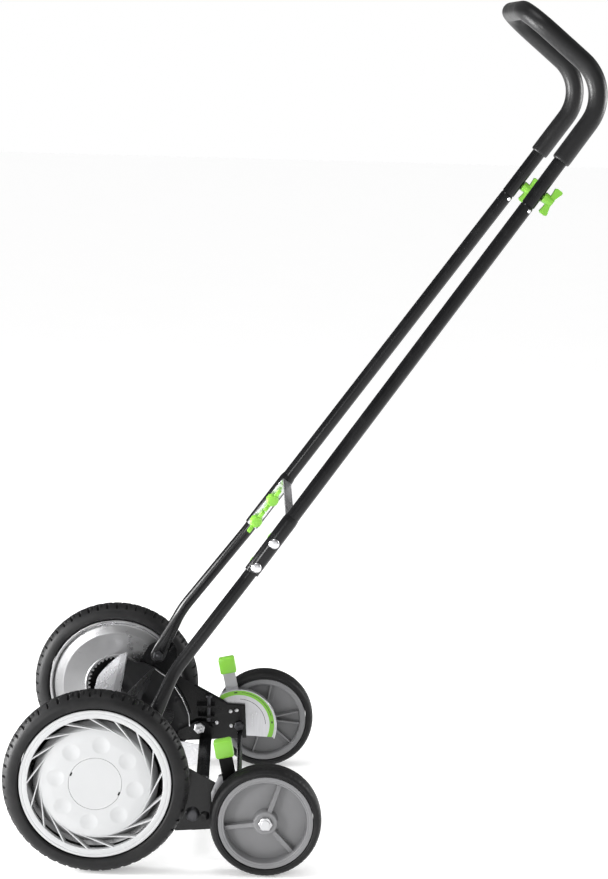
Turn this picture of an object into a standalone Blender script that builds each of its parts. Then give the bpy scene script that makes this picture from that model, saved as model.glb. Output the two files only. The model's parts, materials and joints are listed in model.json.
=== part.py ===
"""Push reel mower: two driven wheels, a helical reel, a bed knife, two trailing wheels and a long handle.

Metres, +Z up.  +X points forward, +Y to the mower's left, and the floor is at z = 0.
The frame's origin is on the floor, under the middle of the whole mower.
Places beside the frame are given as (behind, up): behind the main axle, and up from the floor.
"""

import math

import bmesh
import bpy
from mathutils import Matrix, Vector

# ---------------------------------------------------------------- driving dimensions

AXLE_X = 0.2711            # main axle, forward of the frame's origin
MAIN_RADIUS = 0.127        # ten-inch driven wheels
REAR_RADIUS = 0.0762       # six-inch trailing wheels
GAP = 0.0003               # between parts that touch

# Places across the mower, measured outward from its middle plane
PLATE_IN, PLATE_OUT = 0.2095, 0.2120
ARM_IN, ARM_OUT = 0.2123, 0.2148
QUADRANT_IN, QUADRANT_OUT = 0.2151, 0.2175
LEVER_IN, LEVER_OUT = 0.2178, 0.2208
MAIN_IN, MAIN_OUT = 0.2300, 0.2700
REAR_IN, REAR_OUT = 0.2305, 0.2685
LUG_IN, LUG_OUT = 0.2025, 0.2055

# Gears: an internal ring in each driven wheel, and a pinion on each end of the reel's shaft
MODULE = 0.0022
RING_TEETH = 38
PINION_TEETH = 8
PRESSURE_ANGLE = math.radians(25)
GEAR_OFFSET = (RING_TEETH - PINION_TEETH) * MODULE / 2
REEL_ANGLE = math.radians(-35)      # of the reel's axis, seen from the main axle

# Places beside the frame, as (behind the main axle, up from the floor)
AXLE = (0.0, MAIN_RADIUS)
REEL = (GEAR_OFFSET * math.cos(REEL_ANGLE), MAIN_RADIUS + GEAR_OFFSET * math.sin(REEL_ANGLE))
LEVER_PIVOT = (0.192, 0.072)
REAR_AXLE = (0.231, REAR_RADIUS)
CUTTER_PIVOT = (0.131, 0.070)
ADJUSTER = (0.145, 0.096)
TIE_ROD = (0.194, 0.059)
HANDLE_PIVOT = (0.065, 0.182)

REEL_RADIUS = 0.066
REEL_HALF_LENGTH = 0.199
BLADES = 5
BLADE_DEPTH = 0.020
BLADE_THICKNESS = 0.0024
BLADE_TWIST = math.radians(64)
SPIDERS = (-0.186, -0.064, 0.064, 0.186)

TONGUE = 0.2095            # middle of the lower tubes' flattened ends
QUADRANT_RADIUS = 0.0588
LEVER_ANGLE = math.radians(102)
KNOB_DISTANCE = 0.0965

# The handle's tubes, as (behind, across, up) for the left side
LOWER_BEND = (0.101, 0.1840, 0.262)
SLEEVE_END = (0.204, 0.1636, 0.4005)
UPPER_END = (0.567, 0.1277, 0.9105)
GRIP_BEND = (0.6780, 0.1170, 1.0690)
CROSS_BAR = (0.555, 0.1170, 1.1710)
LOWER_TUBE_RADIUS = 0.00875
MIDDLE_TUBE_RADIUS = 0.0094
SLEEVE_RADIUS = 0.01085
UPPER_TUBE_RADIUS = 0.0097
GRIP_RADIUS = 0.0130
SLEEVE_LENGTH = 0.090
SLEEVE_BOLTS = (0.011, 0.052)       # up from the sleeve's end
UPPER_OVERLAP = 0.042
UPPER_BOLT = 0.0215                 # up from the upper handle's end

BLACK_PAINT = ((0.012, 0.012, 0.013), 0.32, 0.6)
DARK_PAINT = ((0.030, 0.030, 0.032), 0.45, 0.5)
ZINC = ((0.62, 0.62, 0.64), 0.32, 1.0)
STEEL = ((0.50, 0.50, 0.52), 0.28, 1.0)
GREY_STEEL = ((0.36, 0.36, 0.37), 0.38, 0.9)
RUBBER = ((0.020, 0.020, 0.021), 0.62, 0.0)
WHITE_PLASTIC = ((0.80, 0.81, 0.82), 0.35, 0.0)
GREY_PLASTIC = ((0.34, 0.34, 0.35), 0.50, 0.0)
GREEN_PLASTIC = ((0.22, 0.62, 0.03), 0.38, 0.0)
FOAM = ((0.028, 0.028, 0.030), 0.80, 0.0)
BRASS = ((0.60, 0.43, 0.18), 0.35, 1.0)


# ---------------------------------------------------------------- scene and objects

def clear_scene():
    for existing in list(bpy.data.objects):
        bpy.data.objects.remove(existing, do_unlink=True)


def material_for(name, finish):
    colour, roughness, metallic = finish
    material = bpy.data.materials.new(name)
    material.use_nodes = True
    shader = material.node_tree.nodes["Principled BSDF"]
    shader.inputs["Base Color"].default_value = (*colour, 1.0)
    shader.inputs["Roughness"].default_value = roughness
    shader.inputs["Metallic"].default_value = metallic
    material.diffuse_color = (*colour, 1.0)
    return material


def place(behind, across, up):
    """A point of the mower in the frame: behind the main axle, across to the left, up from the floor."""
    return Vector((AXLE_X - behind, across, up))


def body(name, location=(0.0, 0.0, 0.0), parent=None):
    """An empty on a body's joint axis, which its parts are parented to."""
    empty = bpy.data.objects.new(name, None)
    empty.empty_display_size = 0.03
    bpy.context.collection.objects.link(empty)
    empty.location = Vector(location)
    if parent is not None:
        empty.parent = parent
        empty.location = Vector(location) - world_place(parent)
    return empty


def world_place(item):
    """Where an empty stands in the frame: its own location and its parents'."""
    total = Vector(item.location)
    while item.parent is not None:
        item = item.parent
        total += item.location
    return total


def add(name, bm, finish, parent, smooth=40.0):
    """Turn a bmesh built in place into a named object that hangs on its body's empty."""
    bmesh.ops.recalc_face_normals(bm, faces=bm.faces)
    bmesh.ops.translate(bm, verts=bm.verts, vec=-world_place(parent))
    mesh = bpy.data.meshes.new(name)
    bm.to_mesh(mesh)
    bm.free()
    if smooth:
        mesh.shade_smooth()
        mesh.set_sharp_from_angle(angle=math.radians(smooth))
    mesh.materials.append(material_for(name, finish))
    item = bpy.data.objects.new(name, mesh)
    bpy.context.collection.objects.link(item)
    item.parent = parent
    return item


def combine(*parts):
    """Several closed shells as one bmesh."""
    whole = bmesh.new()
    for part in parts:
        piece = bpy.data.meshes.new("piece")
        part.to_mesh(piece)
        part.free()
        whole.from_mesh(piece)
        bpy.data.meshes.remove(piece)
    return whole


def boolean(target, tool, operation):
    """Cut or join a bmesh tool with an object; the tool stays as a hidden wire object."""
    cutter = add(target.name + "_tool", tool, DARK_PAINT, target.parent, smooth=0)
    cutter.hide_render = True
    cutter.display_type = "WIRE"
    modifier = target.modifiers.new(operation.lower(), "BOOLEAN")
    modifier.operation = operation
    modifier.object = cutter
    modifier.use_self = True


# ---------------------------------------------------------------- shapes

def turned(profile, segments=40, closed=True):
    """A turned solid about the Z axis.  The profile lists (radius, height) points."""
    bm = bmesh.new()
    rings = []
    for radius, height in profile:
        if radius < 1e-7:
            rings.append([bm.verts.new((0, 0, height))])
            continue
        turns = [2 * math.pi * k / segments for k in range(segments)]
        rings.append([bm.verts.new((radius * math.cos(a), radius * math.sin(a), height)) for a in turns])
    pairs = list(zip(rings, rings[1:]))
    if closed:
        pairs.append((rings[-1], rings[0]))
    for lower, upper in pairs:
        for k in range(segments):
            j = (k + 1) % segments
            if len(lower) == 1 and len(upper) == 1:
                break
            if len(lower) == 1:
                bm.faces.new((lower[0], upper[k], upper[j]))
            elif len(upper) == 1:
                bm.faces.new((lower[k], lower[j], upper[0]))
            else:
                bm.faces.new((lower[k], lower[j], upper[j], upper[k]))
    return bm


def rod(radius, start, end, segments=12):
    """A plain solid cylinder between two heights on the Z axis."""
    return turned([(0, start), (radius, start), (radius, end), (0, end)], segments, closed=False)


def aim(bm, origin, direction, spin=0.0):
    """Move a shape built on the Z axis so that +Z runs along a direction through an origin."""
    turn = Vector((0, 0, 1)).rotation_difference(Vector(direction).normalized()).to_matrix().to_4x4()
    bmesh.ops.transform(bm, matrix=Matrix.Translation(origin) @ turn @ Matrix.Rotation(spin, 4, "Z"),
                        verts=bm.verts)
    return bm


def across(bm, spot, side, spin=0.0):
    """Lay a shape built on the Z axis across the mower, its heights running outward on one side."""
    return aim(bm, place(spot[0], 0.0, spot[1]), (0, side, 0), spin)


def sheet(outline, start, end, side=1, holes=()):
    """A flat plate beside the frame.  Outline in (behind, up); holes are (behind, up, radius)."""
    bm = bmesh.new()
    edges = []
    loops = [list(outline)]
    for behind, up, radius in holes:
        turns = [2 * math.pi * k / 12 for k in range(12)]
        loops.append([(behind + radius * math.cos(a), up + radius * math.sin(a)) for a in turns])
    for loop in loops:
        verts = [bm.verts.new(place(p[0], side * start, p[1])) for p in loop]
        edges += [bm.edges.new((a, b)) for a, b in zip(verts, verts[1:] + verts[:1])]
    bmesh.ops.triangle_fill(bm, edges=edges, use_beauty=True, normal=(0, 1, 0))
    grown = bmesh.ops.extrude_face_region(bm, geom=bm.faces[:])
    moved = [g for g in grown["geom"] if isinstance(g, bmesh.types.BMVert)]
    bmesh.ops.translate(bm, verts=moved, vec=(0, side * (end - start), 0))
    return bm


def strip(centre_line, thickness, start, end, side=1):
    """A bent sheet across the mower: a line of (behind, up) points, thickened and extruded across."""
    offsets = []
    for k, point in enumerate(centre_line):
        before = centre_line[max(k - 1, 0)]
        after = centre_line[min(k + 1, len(centre_line) - 1)]
        along = Vector((after[0] - before[0], after[1] - before[1])).normalized()
        offsets.append((point[0] - along.y * thickness, point[1] + along.x * thickness))
    return sheet(list(centre_line) + offsets[::-1], start, end, side)


def arc(centre, radius, first, last, count):
    """Points on an arc, in degrees, as (behind, up)."""
    turns = [math.radians(first + (last - first) * k / (count - 1)) for k in range(count)]
    return [(centre[0] + radius * math.cos(a), centre[1] + radius * math.sin(a)) for a in turns]


def smooth_path(corners, bend_radii, step=math.radians(18)):
    """Straight runs joined by round bends; bend_radii has one entry for each inner corner."""
    points = [Vector(corners[0])]
    for k, radius in enumerate(bend_radii, start=1):
        corner = Vector(corners[k])
        back = (Vector(corners[k - 1]) - corner).normalized()
        ahead = (Vector(corners[k + 1]) - corner).normalized()
        opening = back.angle(ahead)
        bend = math.pi - opening
        if bend < 1e-3:
            continue
        reach = radius / math.tan(opening / 2)
        centre = corner + (back + ahead).normalized() * (radius / math.sin(opening / 2))
        first = corner + back * reach - centre
        axis = first.cross(corner + ahead * reach - centre).normalized()
        count = max(2, round(bend / step))
        for n in range(count + 1):
            points.append(centre + Matrix.Rotation(bend * n / count, 3, axis) @ first)
    points.append(Vector(corners[-1]))
    return points


def swept(points, sections, across_hint, segments=12, bore=0.0):
    """A tube along a path.  Each section is (half width, half height); a bore makes it hollow."""
    bm = bmesh.new()
    side_axis = Vector(across_hint)
    outer, inner = [], []
    for k, point in enumerate(points):
        ahead = (points[min(k + 1, len(points) - 1)] - points[max(k - 1, 0)]).normalized()
        side_axis = (side_axis - ahead * side_axis.dot(ahead)).normalized()
        up_axis = ahead.cross(side_axis)
        for ring, scale in ((outer, sections[k]), (inner, (bore, bore))):
            turns = [2 * math.pi * (n + 0.5) / segments for n in range(segments)]
            if ring is inner and not bore:
                continue
            ring.append([bm.verts.new(point + side_axis * (scale[0] * math.cos(a))
                                      + up_axis * (scale[1] * math.sin(a))) for a in turns])
    for rings in (outer, inner):
        for lower, upper in zip(rings, rings[1:]):
            for n in range(segments):
                m = (n + 1) % segments
                bm.faces.new((lower[n], lower[m], upper[m], upper[n]))
    for end in (0, -1):
        if not bore:
            bm.faces.new(outer[end])
            continue
        for n in range(segments):
            m = (n + 1) % segments
            bm.faces.new((outer[end][n], outer[end][m], inner[end][m], inner[end][n]))
    return bm


def box(low, high):
    """A plain block between two corners."""
    bm = bmesh.new()
    bmesh.ops.create_cube(bm, size=1.0)
    low, high = Vector(low), Vector(high)
    bmesh.ops.scale(bm, vec=high - low, verts=bm.verts)
    bmesh.ops.translate(bm, vec=(low + high) / 2, verts=bm.verts)
    return bm


def hexagon(across_corners, start, end):
    """A hexagon nut or head on the Z axis, its corners lightly chamfered."""
    chamfer = 0.0008
    return turned([(0, start), (across_corners - chamfer, start), (across_corners, start + chamfer),
                   (across_corners, end - chamfer), (across_corners - chamfer, end), (0, end)],
                  6, closed=False)


def bolt(shank, head, start, end, head_height, dome=False, nut=0.0, nut_height=0.0, hexed=False):
    """A bolt on the Z axis: head outside `end`, shank from `start` to `end`, and a nut inside `start`."""
    if hexed:
        top = [(head, end), (head, end + head_height), (0, end + head_height)]
        sides = 6
    elif dome:
        top = [(head, end), (head * 0.86, end + head_height * 0.6), (0, end + head_height)]
        sides = 10
    else:
        top = [(head, end), (head, end + head_height * 0.6), (0, end + head_height)]
        sides = 10
    profile = [(0, start), (shank, start), (shank, end)]
    if nut:
        profile = [(0, start - nut_height), (nut, start - nut_height), (nut, start), (shank, start), (shank, end)]
    return turned(profile + top, sides, closed=False)


def involute(radius, base):
    """The involute angle at a radius, 0 at or inside the base circle."""
    if radius <= base:
        return 0.0
    slope = math.sqrt((radius / base) ** 2 - 1)
    return slope - math.atan(slope)


def tooth_half_angle(radius, teeth, thickness):
    """Half the angle that a tooth fills at a radius; thickness is its share of the pitch width."""
    pitch = teeth * MODULE / 2
    base = pitch * math.cos(PRESSURE_ANGLE)
    return math.pi / (2 * teeth) * thickness + involute(pitch, base) - involute(radius, base)


def toothed_outline(teeth, thickness, radii, phase):
    """Points round a gear, tooth by tooth: each flank has one point for each radius."""
    outline = []
    for k in range(teeth):
        middle = phase + 2 * math.pi * k / teeth
        halves = [(radius, tooth_half_angle(radius, teeth, thickness)) for radius in radii]
        flank = [(radius, middle - half) for radius, half in halves]
        flank += [(radius, middle + half) for radius, half in reversed(halves)]
        outline.append([(radius * math.cos(a), radius * math.sin(a)) for radius, a in flank])
    return outline


# ---------------------------------------------------------------- driven wheels and drive

LINE_OF_CENTRES = math.atan2(REEL[1] - AXLE[1], -(REEL[0] - AXLE[0]))


def gear_blank(teeth_points, rim_point, start, end, side, spot):
    """Extrude a ring of tooth sectors; rim_point(k) gives the far corner shared by two sectors."""
    bm = bmesh.new()
    levels = []
    count = len(teeth_points)
    for level in (start, end):
        edge = [[bm.verts.new(place(spot[0], side * level, spot[1]) + Vector((x, 0, z))) for x, z in points]
                for points in teeth_points]
        far = [bm.verts.new(place(spot[0], side * level, spot[1]) + Vector((x, 0, z)))
               for x, z in (rim_point(k) for k in range(count))]
        levels.append((edge, far))
    for edge, far in levels:
        for k in range(count):
            bm.faces.new([far[k]] + edge[k] + [edge[(k + 1) % count][0], far[(k + 1) % count]])
    (edge_a, far_a), (edge_b, far_b) = levels
    for k in range(count):
        near_a = edge_a[k] + [edge_a[(k + 1) % count][0]]
        near_b = edge_b[k] + [edge_b[(k + 1) % count][0]]
        for n in range(len(near_a) - 1):
            bm.faces.new((near_a[n], near_a[n + 1], near_b[n + 1], near_b[n]))
        m = (k + 1) % count
        bm.faces.new((far_a[k], far_a[m], far_b[m], far_b[k]))
    return bm


def ring_gear(side):
    """Internal teeth: each gap between teeth has the outline of an outside tooth, and one faces the pinion."""
    radii = (0.0410, 0.0442)
    spaces = toothed_outline(RING_TEETH, 1.14, radii, LINE_OF_CENTRES)
    outer = 0.0470
    turn = 2 * math.pi / RING_TEETH

    def rim(k):
        angle = LINE_OF_CENTRES + (k - 0.5) * turn
        return outer * math.cos(angle), outer * math.sin(angle)

    return gear_blank(spaces, rim, 0.2360, 0.2475, side, AXLE)


def pinion(side):
    """The pinion's teeth, and beside them the ratchet drum that a pawl in the shaft drives."""
    radii = (0.0064, 0.0088, 0.0102)
    teeth = toothed_outline(PINION_TEETH, 0.84, radii, LINE_OF_CENTRES)
    turn = 2 * math.pi / PINION_TEETH

    def bore(k):
        angle = LINE_OF_CENTRES + (k - 0.5) * turn
        return 0.0049 * math.cos(angle), 0.0049 * math.sin(angle)

    return gear_blank(teeth, bore, 0.2330, 0.2465, side, REEL)


def ratchet_drum():
    """The drum's wall and floor, turned, with three notches for the pawl."""
    return turned([(0.0049, 0.2348), (0.0080, 0.2348), (0.0115, 0.2310), (0.0115, 0.2165), (0.0068, 0.2165),
                   (0.0068, 0.2285), (0.0049, 0.2285)], 14)


def notch_tool(side):
    """Three blocks that cut the drum's notches, the first in line with the pawl."""
    blocks = []
    for k in range(3):
        block = box((0.0050, -0.0022, 0.2160), (0.0093, 0.0022, 0.2275))
        bmesh.ops.rotate(block, verts=block.verts, matrix=Matrix.Rotation(2 * math.pi * k / 3, 3, "Z"))
        blocks.append(block)
    return across(combine(*blocks), REEL, side)


def tyre_profile(radius, inner, start, end, shoulder):
    """A rubber tyre's section: flat-topped, with round shoulders and short side walls."""
    middle = (start + end) / 2
    crown = 0.0012
    points = [(inner, start + 0.002), (radius - shoulder - 0.004, start)]
    for k in range(2):
        angle = math.radians(45 * k + 22)
        points.append((radius - crown - shoulder * (1 - math.sin(angle)), start + shoulder * (1 - math.cos(angle))))
    points.append((radius, middle))
    return points + [(r, 2 * middle - y) for r, y in reversed(points[:-1])]


def wheel_section():
    """The driven wheel's section: hub, gear recess, inner dish, groove and rim."""
    inboard = [(0.0084, 0.2502), (0.0465, 0.2502), (0.0465, 0.2330), (0.0830, 0.2330), (0.0960, 0.2376),
               (0.0985, 0.2312), (0.1035, 0.2320)]
    outboard = [(0.1035, 0.2670), (0.1000, 0.2670), (0.1000, 0.2420), (0.0825, 0.2366), (0.0503, 0.2366),
                (0.0503, 0.2530), (0.0150, 0.2530), (0.0150, 0.2570), (0.0084, 0.2570)]
    return inboard + outboard


def hubcap(side, parent, name):
    """The cover: a dished disc and an outer ring, joined by seventeen slanted vanes over the wheel's web."""
    disc = turned([(0, 0.2640), (0.0755, 0.2605), (0.0755, 0.2640), (0.0560, 0.2668), (0.0, 0.2668)], 34,
                  closed=False)
    ring = turned([(0.0915, 0.2600), (0.0995, 0.2600), (0.0995, 0.2673), (0.1030, 0.2673), (0.1020, 0.2690),
                   (0.0915, 0.2690)], 34)
    cover = add(name, across(disc, AXLE, side), WHITE_PLASTIC, parent)
    vanes = []
    for k in range(17):
        outer_angle = 2 * math.pi * k / 17
        inner_angle = outer_angle - math.radians(17.4)
        outer = Vector((0.0930 * math.cos(outer_angle), 0.0930 * math.sin(outer_angle), 0))
        inner = Vector((0.0740 * math.cos(inner_angle), 0.0740 * math.sin(inner_angle), 0))
        vane = box((-0.0011, 0, 0.2605), (0.0011, (outer - inner).length, 0.2640))
        heading = math.atan2(outer.y - inner.y, outer.x - inner.x) - math.pi / 2
        bmesh.ops.transform(vane, matrix=Matrix.Translation(inner) @ Matrix.Rotation(heading, 4, "Z"),
                            verts=vane.verts)
        vanes.append(vane)
    boolean(cover, across(combine(ring, *vanes), AXLE, side), "UNION")
    return cover


def driven_wheel(side, prefix, frame_body):
    spin = body(prefix + "_wheel_body", place(AXLE[0], side * 0.25, AXLE[1]), frame_body)
    tyre = turned(tyre_profile(MAIN_RADIUS, 0.1043, MAIN_IN, MAIN_OUT, 0.010), 40)
    add(prefix + "_tyre", across(tyre, AXLE, side), RUBBER, spin)
    wheel = add(prefix + "_wheel", across(turned(wheel_section(), 32), AXLE, side), GREY_STEEL, spin)
    boolean(wheel, ring_gear(side), "UNION")
    hubcap(side, spin, prefix + "_hubcap")

    turning = body(prefix + "_pinion_body", place(REEL[0], side * 0.23, REEL[1]), frame_body)
    gear = add(prefix + "_pinion", pinion(side), STEEL, turning, smooth=25)
    boolean(gear, across(ratchet_drum(), REEL, side), "UNION")
    boolean(gear, notch_tool(side), "DIFFERENCE")


def main_axle(side, prefix, frame_body):
    """The fixed stub that a driven wheel turns on, with its nut."""
    stub = turned([(0, 0.2062), (0.0105, 0.2062), (0.0105, PLATE_IN - GAP), (0.0080, PLATE_IN - GAP),
                   (0.0080, ARM_IN), (0.0130, ARM_IN), (0.0130, 0.2180), (0.0080, 0.2180),
                   (0.0080, 0.2560), (0.0060, 0.2575), (0.0060, 0.2628), (0, 0.2628)], 14, closed=False)
    axle = add(prefix + "_main_axle", across(stub, AXLE, side), ZINC, frame_body)
    boolean(axle, across(hexagon(0.0105, 0.2577, 0.2620), AXLE, side), "UNION")


# ---------------------------------------------------------------- reel

def helical_blade(start_angle):
    """One blade: a flat strip wound round the reel's axis."""
    bm = bmesh.new()
    stations = 9
    rings = []
    for k in range(stations + 1):
        share = 2 * k / stations - 1
        angle = start_angle + BLADE_TWIST / 2 * share
        ring = []
        for radius, offset in ((REEL_RADIUS - BLADE_DEPTH, -0.5), (REEL_RADIUS, -0.5),
                               (REEL_RADIUS, 0.5), (REEL_RADIUS - BLADE_DEPTH, 0.5)):
            reach = math.sqrt(radius ** 2 - (BLADE_THICKNESS / 2) ** 2)
            shift = BLADE_THICKNESS * offset
            behind = REEL[0] + reach * math.cos(angle) - shift * math.sin(angle)
            up = REEL[1] + reach * math.sin(angle) + shift * math.cos(angle)
            ring.append(bm.verts.new(place(behind, REEL_HALF_LENGTH * share, up)))
        rings.append(ring)
    for lower, upper in zip(rings, rings[1:]):
        for n in range(4):
            m = (n + 1) % 4
            bm.faces.new((lower[n], lower[m], upper[m], upper[n]))
    bm.faces.new(rings[0])
    bm.faces.new(rings[-1])
    return bm


def spider(middle):
    """A stamped five-armed plate that carries the blades."""
    outline = []
    twist = BLADE_TWIST / 2 * middle / REEL_HALF_LENGTH
    for k in range(BLADES):
        arm = math.radians(20) + twist + 2 * math.pi * k / BLADES
        for radius, spread in ((0.017, -0.50), (0.0500, -0.12), (0.0500, 0.12), (0.017, 0.50)):
            outline.append((REEL[0] + radius * math.cos(arm + spread), REEL[1] + radius * math.sin(arm + spread)))
    return sheet(outline, middle - 0.0015, middle + 0.0015, 1, [(REEL[0], REEL[1], 0.0078)])


def reel(frame_body):
    spin = body("reel_body", place(REEL[0], 0, REEL[1]), frame_body)
    half = [(0.0075, 0.2035), (0.0044, 0.2035), (0.0044, 0.2472), (0.0070, 0.2472), (0.0070, 0.2480),
            (0.0044, 0.2480), (0.0044, 0.2490), (0, 0.2490)]
    shaft_profile = [(r, -y) for r, y in reversed(half)] + half
    shaft = add("reel_shaft", across(turned(shaft_profile, 12, closed=False), REEL, 1), STEEL, spin)
    slots = [box((-0.006, -0.0017, y - 0.0052), (0.006, 0.0017, y + 0.0052)) for y in (-0.2220, 0.2220)]
    boolean(shaft, across(combine(*slots), REEL, 1), "DIFFERENCE")
    cylinder = add("reel_cylinder", spider(SPIDERS[0]), STEEL, spin, smooth=30)
    starts = [math.radians(20) + 2 * math.pi * k / BLADES for k in range(BLADES)]
    boolean(cylinder, combine(*[spider(y) for y in SPIDERS[1:]], *[helical_blade(a) for a in starts]), "UNION")
    engaged = box((-0.0040, -0.0014, 0.2172), (0.0086, 0.0014, 0.2268))
    overrun = box((-0.0062, -0.0014, 0.2172), (0.0062, 0.0014, 0.2268))
    add("left_pawl", across(engaged, REEL, 1), STEEL, spin, smooth=0)
    add("right_pawl", across(overrun, REEL, -1), STEEL, spin, smooth=0)
    for side, prefix in ((1, "left"), (-1, "right")):
        bearing = turned([(0.0047, 0.2048), (0.0110, 0.2048), (0.0110, 0.2092), (0.0047, 0.2092)], 14)
        add(prefix + "_reel_bearing", across(bearing, REEL, side), BRASS, frame_body)


# ---------------------------------------------------------------- frame

SIDE_PLATE = [(-0.030, 0.100), (-0.031, 0.124), (-0.014, 0.152), (0.006, 0.170), (0.019, 0.1745),
              (0.030, 0.1700), (0.042, 0.1700), (0.061, 0.1620), (0.080, 0.1485), (0.0935, 0.1310),
              (0.103, 0.1160), (0.1095, 0.103), (0.1145, 0.089), (0.1155, 0.072), (0.110, 0.047),
              (0.060, 0.040), (0.010, 0.047), (-0.019, 0.070)]
REAR_ARM = [(0.036, 0.1500), (0.036, 0.1720), (0.050, 0.1960), (0.066, 0.2060), (0.086, 0.2050),
            (0.094, 0.1900), (0.0950, 0.1620), (0.100, 0.1475), (0.121, 0.1370), (0.166, 0.1128),
            (0.173, 0.1068), (0.201, 0.1052), (0.204, 0.0520), (0.188, 0.0515), (0.154, 0.0490),
            (0.108, 0.0460), (0.096, 0.0600), (0.086, 0.1200), (0.062, 0.1400)]


PLATE_RIVETS = [(0.104, 0.070), (0.096, 0.112)]
TAB_RIVET = (0.148, 0.068)


def side_plate(side, name, frame_body):
    """A pressed plate with a turned-in rear edge, a bearing cup and the axle's hole."""
    holes = [(*AXLE, 0.0083), (*REEL, 0.0060)]
    plate = add(name, sheet(SIDE_PLATE, PLATE_IN, PLATE_OUT, side, holes), DARK_PAINT, frame_body)
    cup = turned([(0.0113, 0.2045), (0.0140, 0.2045), (0.0140, PLATE_IN + 0.001), (0.0113, PLATE_IN + 0.001)], 14)
    lip = strip(SIDE_PLATE[8:13], 0.0022, 0.2020, PLATE_IN + 0.001, side)
    rivets = [across(rivet(0.0055, PLATE_IN, -0.0022), spot, side) for spot in PLATE_RIVETS]
    boolean(plate, combine(across(cup, REEL, side), lip, *rivets), "UNION")


def rear_arm(side, name, frame_body):
    """The plate behind the side plate: handle lug, stop tab, adjuster bracket and the rear pivots."""
    holes = [(*CUTTER_PIVOT, 0.0053), (*LEVER_PIVOT, 0.0053), (*TIE_ROD, 0.0043), (*HANDLE_PIVOT, 0.0043)]
    arm = add(name, sheet(REAR_ARM, ARM_IN, ARM_OUT, side, holes), BLACK_PAINT, frame_body)
    lip = strip([(0.2000, 0.1044), (0.1726, 0.1058), (0.1655, 0.1117), (0.1225, 0.1351)], 0.0022, 0.2096,
                ARM_IN + 0.001, side)
    low, high = ADJUSTER[1] - 0.0095, ADJUSTER[1] + 0.0070
    channel = [(0.126, low), (0.154, low), (0.154, low + 0.0025), (0.1285, low + 0.0025), (0.1285, high),
               (0.154, high), (0.154, high + 0.0025), (0.126, high + 0.0025)]
    bracket = sheet(channel, 0.1990, ARM_IN + 0.001, side)
    rivets = [across(rivet(0.0055, ARM_OUT, 0.0026), spot, side) for spot in PLATE_RIVETS]
    rivets.append(across(rivet(0.0066, ARM_OUT, 0.0030), TAB_RIVET, side))
    boolean(arm, combine(lip, bracket, stop_tab(side), *rivets), "UNION")
    hole = aim(rod(0.0033, low - 0.002, high + 0.005, 16), place(ADJUSTER[0], side * 0.2040, 0), (0, 0, 1))
    boolean(arm, hole, "DIFFERENCE")


def rivet(radius, face, height):
    """A domed rivet head that stands on a plate's face; a negative height puts it on the inner face."""
    sunk = -0.001 if height > 0 else 0.001
    return turned([(0, face + sunk), (radius, face + sunk), (radius, face + height * 0.4), (0, face + height)],
                  10, closed=False)


def stop_tab(side):
    """The tab behind the lower tube, which holds the handle at its working angle."""
    run = tube_direction(side)
    along = Vector((-run.x, run.z)).normalized()
    square = Vector((along.y, -along.x))
    pivot = Vector(HANDLE_PIVOT)
    corners = [pivot + along * s + square * n
               for s, n in ((0.012, 0.0126), (0.026, 0.0126), (0.026, 0.0156), (0.012, 0.0156))]
    return sheet([tuple(c) for c in corners], 0.2050, ARM_IN + 0.001, side)


def top_tie_bar(frame_body):
    """A bent sheet over the reel, with round front corners; its rear edge is turned down."""
    bm = bmesh.new()
    rear, crease, front = (0.018, 0.1865), (0.008, 0.1825), (-0.026, 0.1560)
    foot = (0.018, 0.1785)
    thickness = 0.0020
    half = PLATE_IN - GAP
    stations = []
    corner = 0.052
    for k in range(6):
        angle = math.radians(90 * k / 5)
        stations.append((half - corner * (1 - math.cos(angle)), 0.10 + 0.90 * math.sin(angle)))
    stations = stations + [(-y, reach) for y, reach in reversed(stations)]
    rings = []
    for y, reach in stations:
        tip = (crease[0] + (front[0] - crease[0]) * reach, crease[1] + (front[1] - crease[1]) * reach)
        outer = [foot, rear, crease, tip]
        inner = [(tip[0] + 0.0012, tip[1] - thickness * 0.8), (crease[0] + 0.0010, crease[1] - thickness),
                 (rear[0] - thickness, rear[1] - thickness), (foot[0] - thickness, foot[1])]
        rings.append([bm.verts.new(place(b, y, u)) for b, u in outer + inner])
    for lower, upper in zip(rings, rings[1:]):
        for n in range(8):
            m = (n + 1) % 8
            bm.faces.new((lower[n], lower[m], upper[m], upper[n]))
    bm.faces.new(rings[0])
    bm.faces.new(rings[-1])
    add("top_tie_bar", bm, ZINC, frame_body, smooth=20)


def cutter_bar(frame_body):
    """The angle bar under the reel, with a lug at each end for its pivot and adjusting screw."""
    section = [(0.064, 0.0405), (0.098, 0.0405), (0.098, 0.0620), (0.0945, 0.0620), (0.0945, 0.0440),
               (0.064, 0.0440)]
    bar = add("cutter_bar", sheet(section, -LUG_OUT, LUG_OUT), BLACK_PAINT, frame_body)
    lug = [(0.080, 0.0405), (0.098, 0.0405), (0.128, 0.0600), (0.150, 0.0620), (0.152, 0.0700),
           (0.140, 0.0790), (0.126, 0.0795), (0.0945, 0.0620), (0.080, 0.0500)]
    lugs = [sheet(lug, LUG_IN, LUG_OUT + 0.0001, side, [(*CUTTER_PIVOT, 0.0053)]) for side in (1, -1)]
    boolean(bar, combine(*lugs), "UNION")
    knife = [(0.0590, 0.0487), (0.092, 0.0468), (0.092, 0.0443), (0.0615, 0.0443)]
    add("bed_knife", sheet(knife, -0.2005, 0.2005), STEEL, frame_body, smooth=20)


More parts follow.
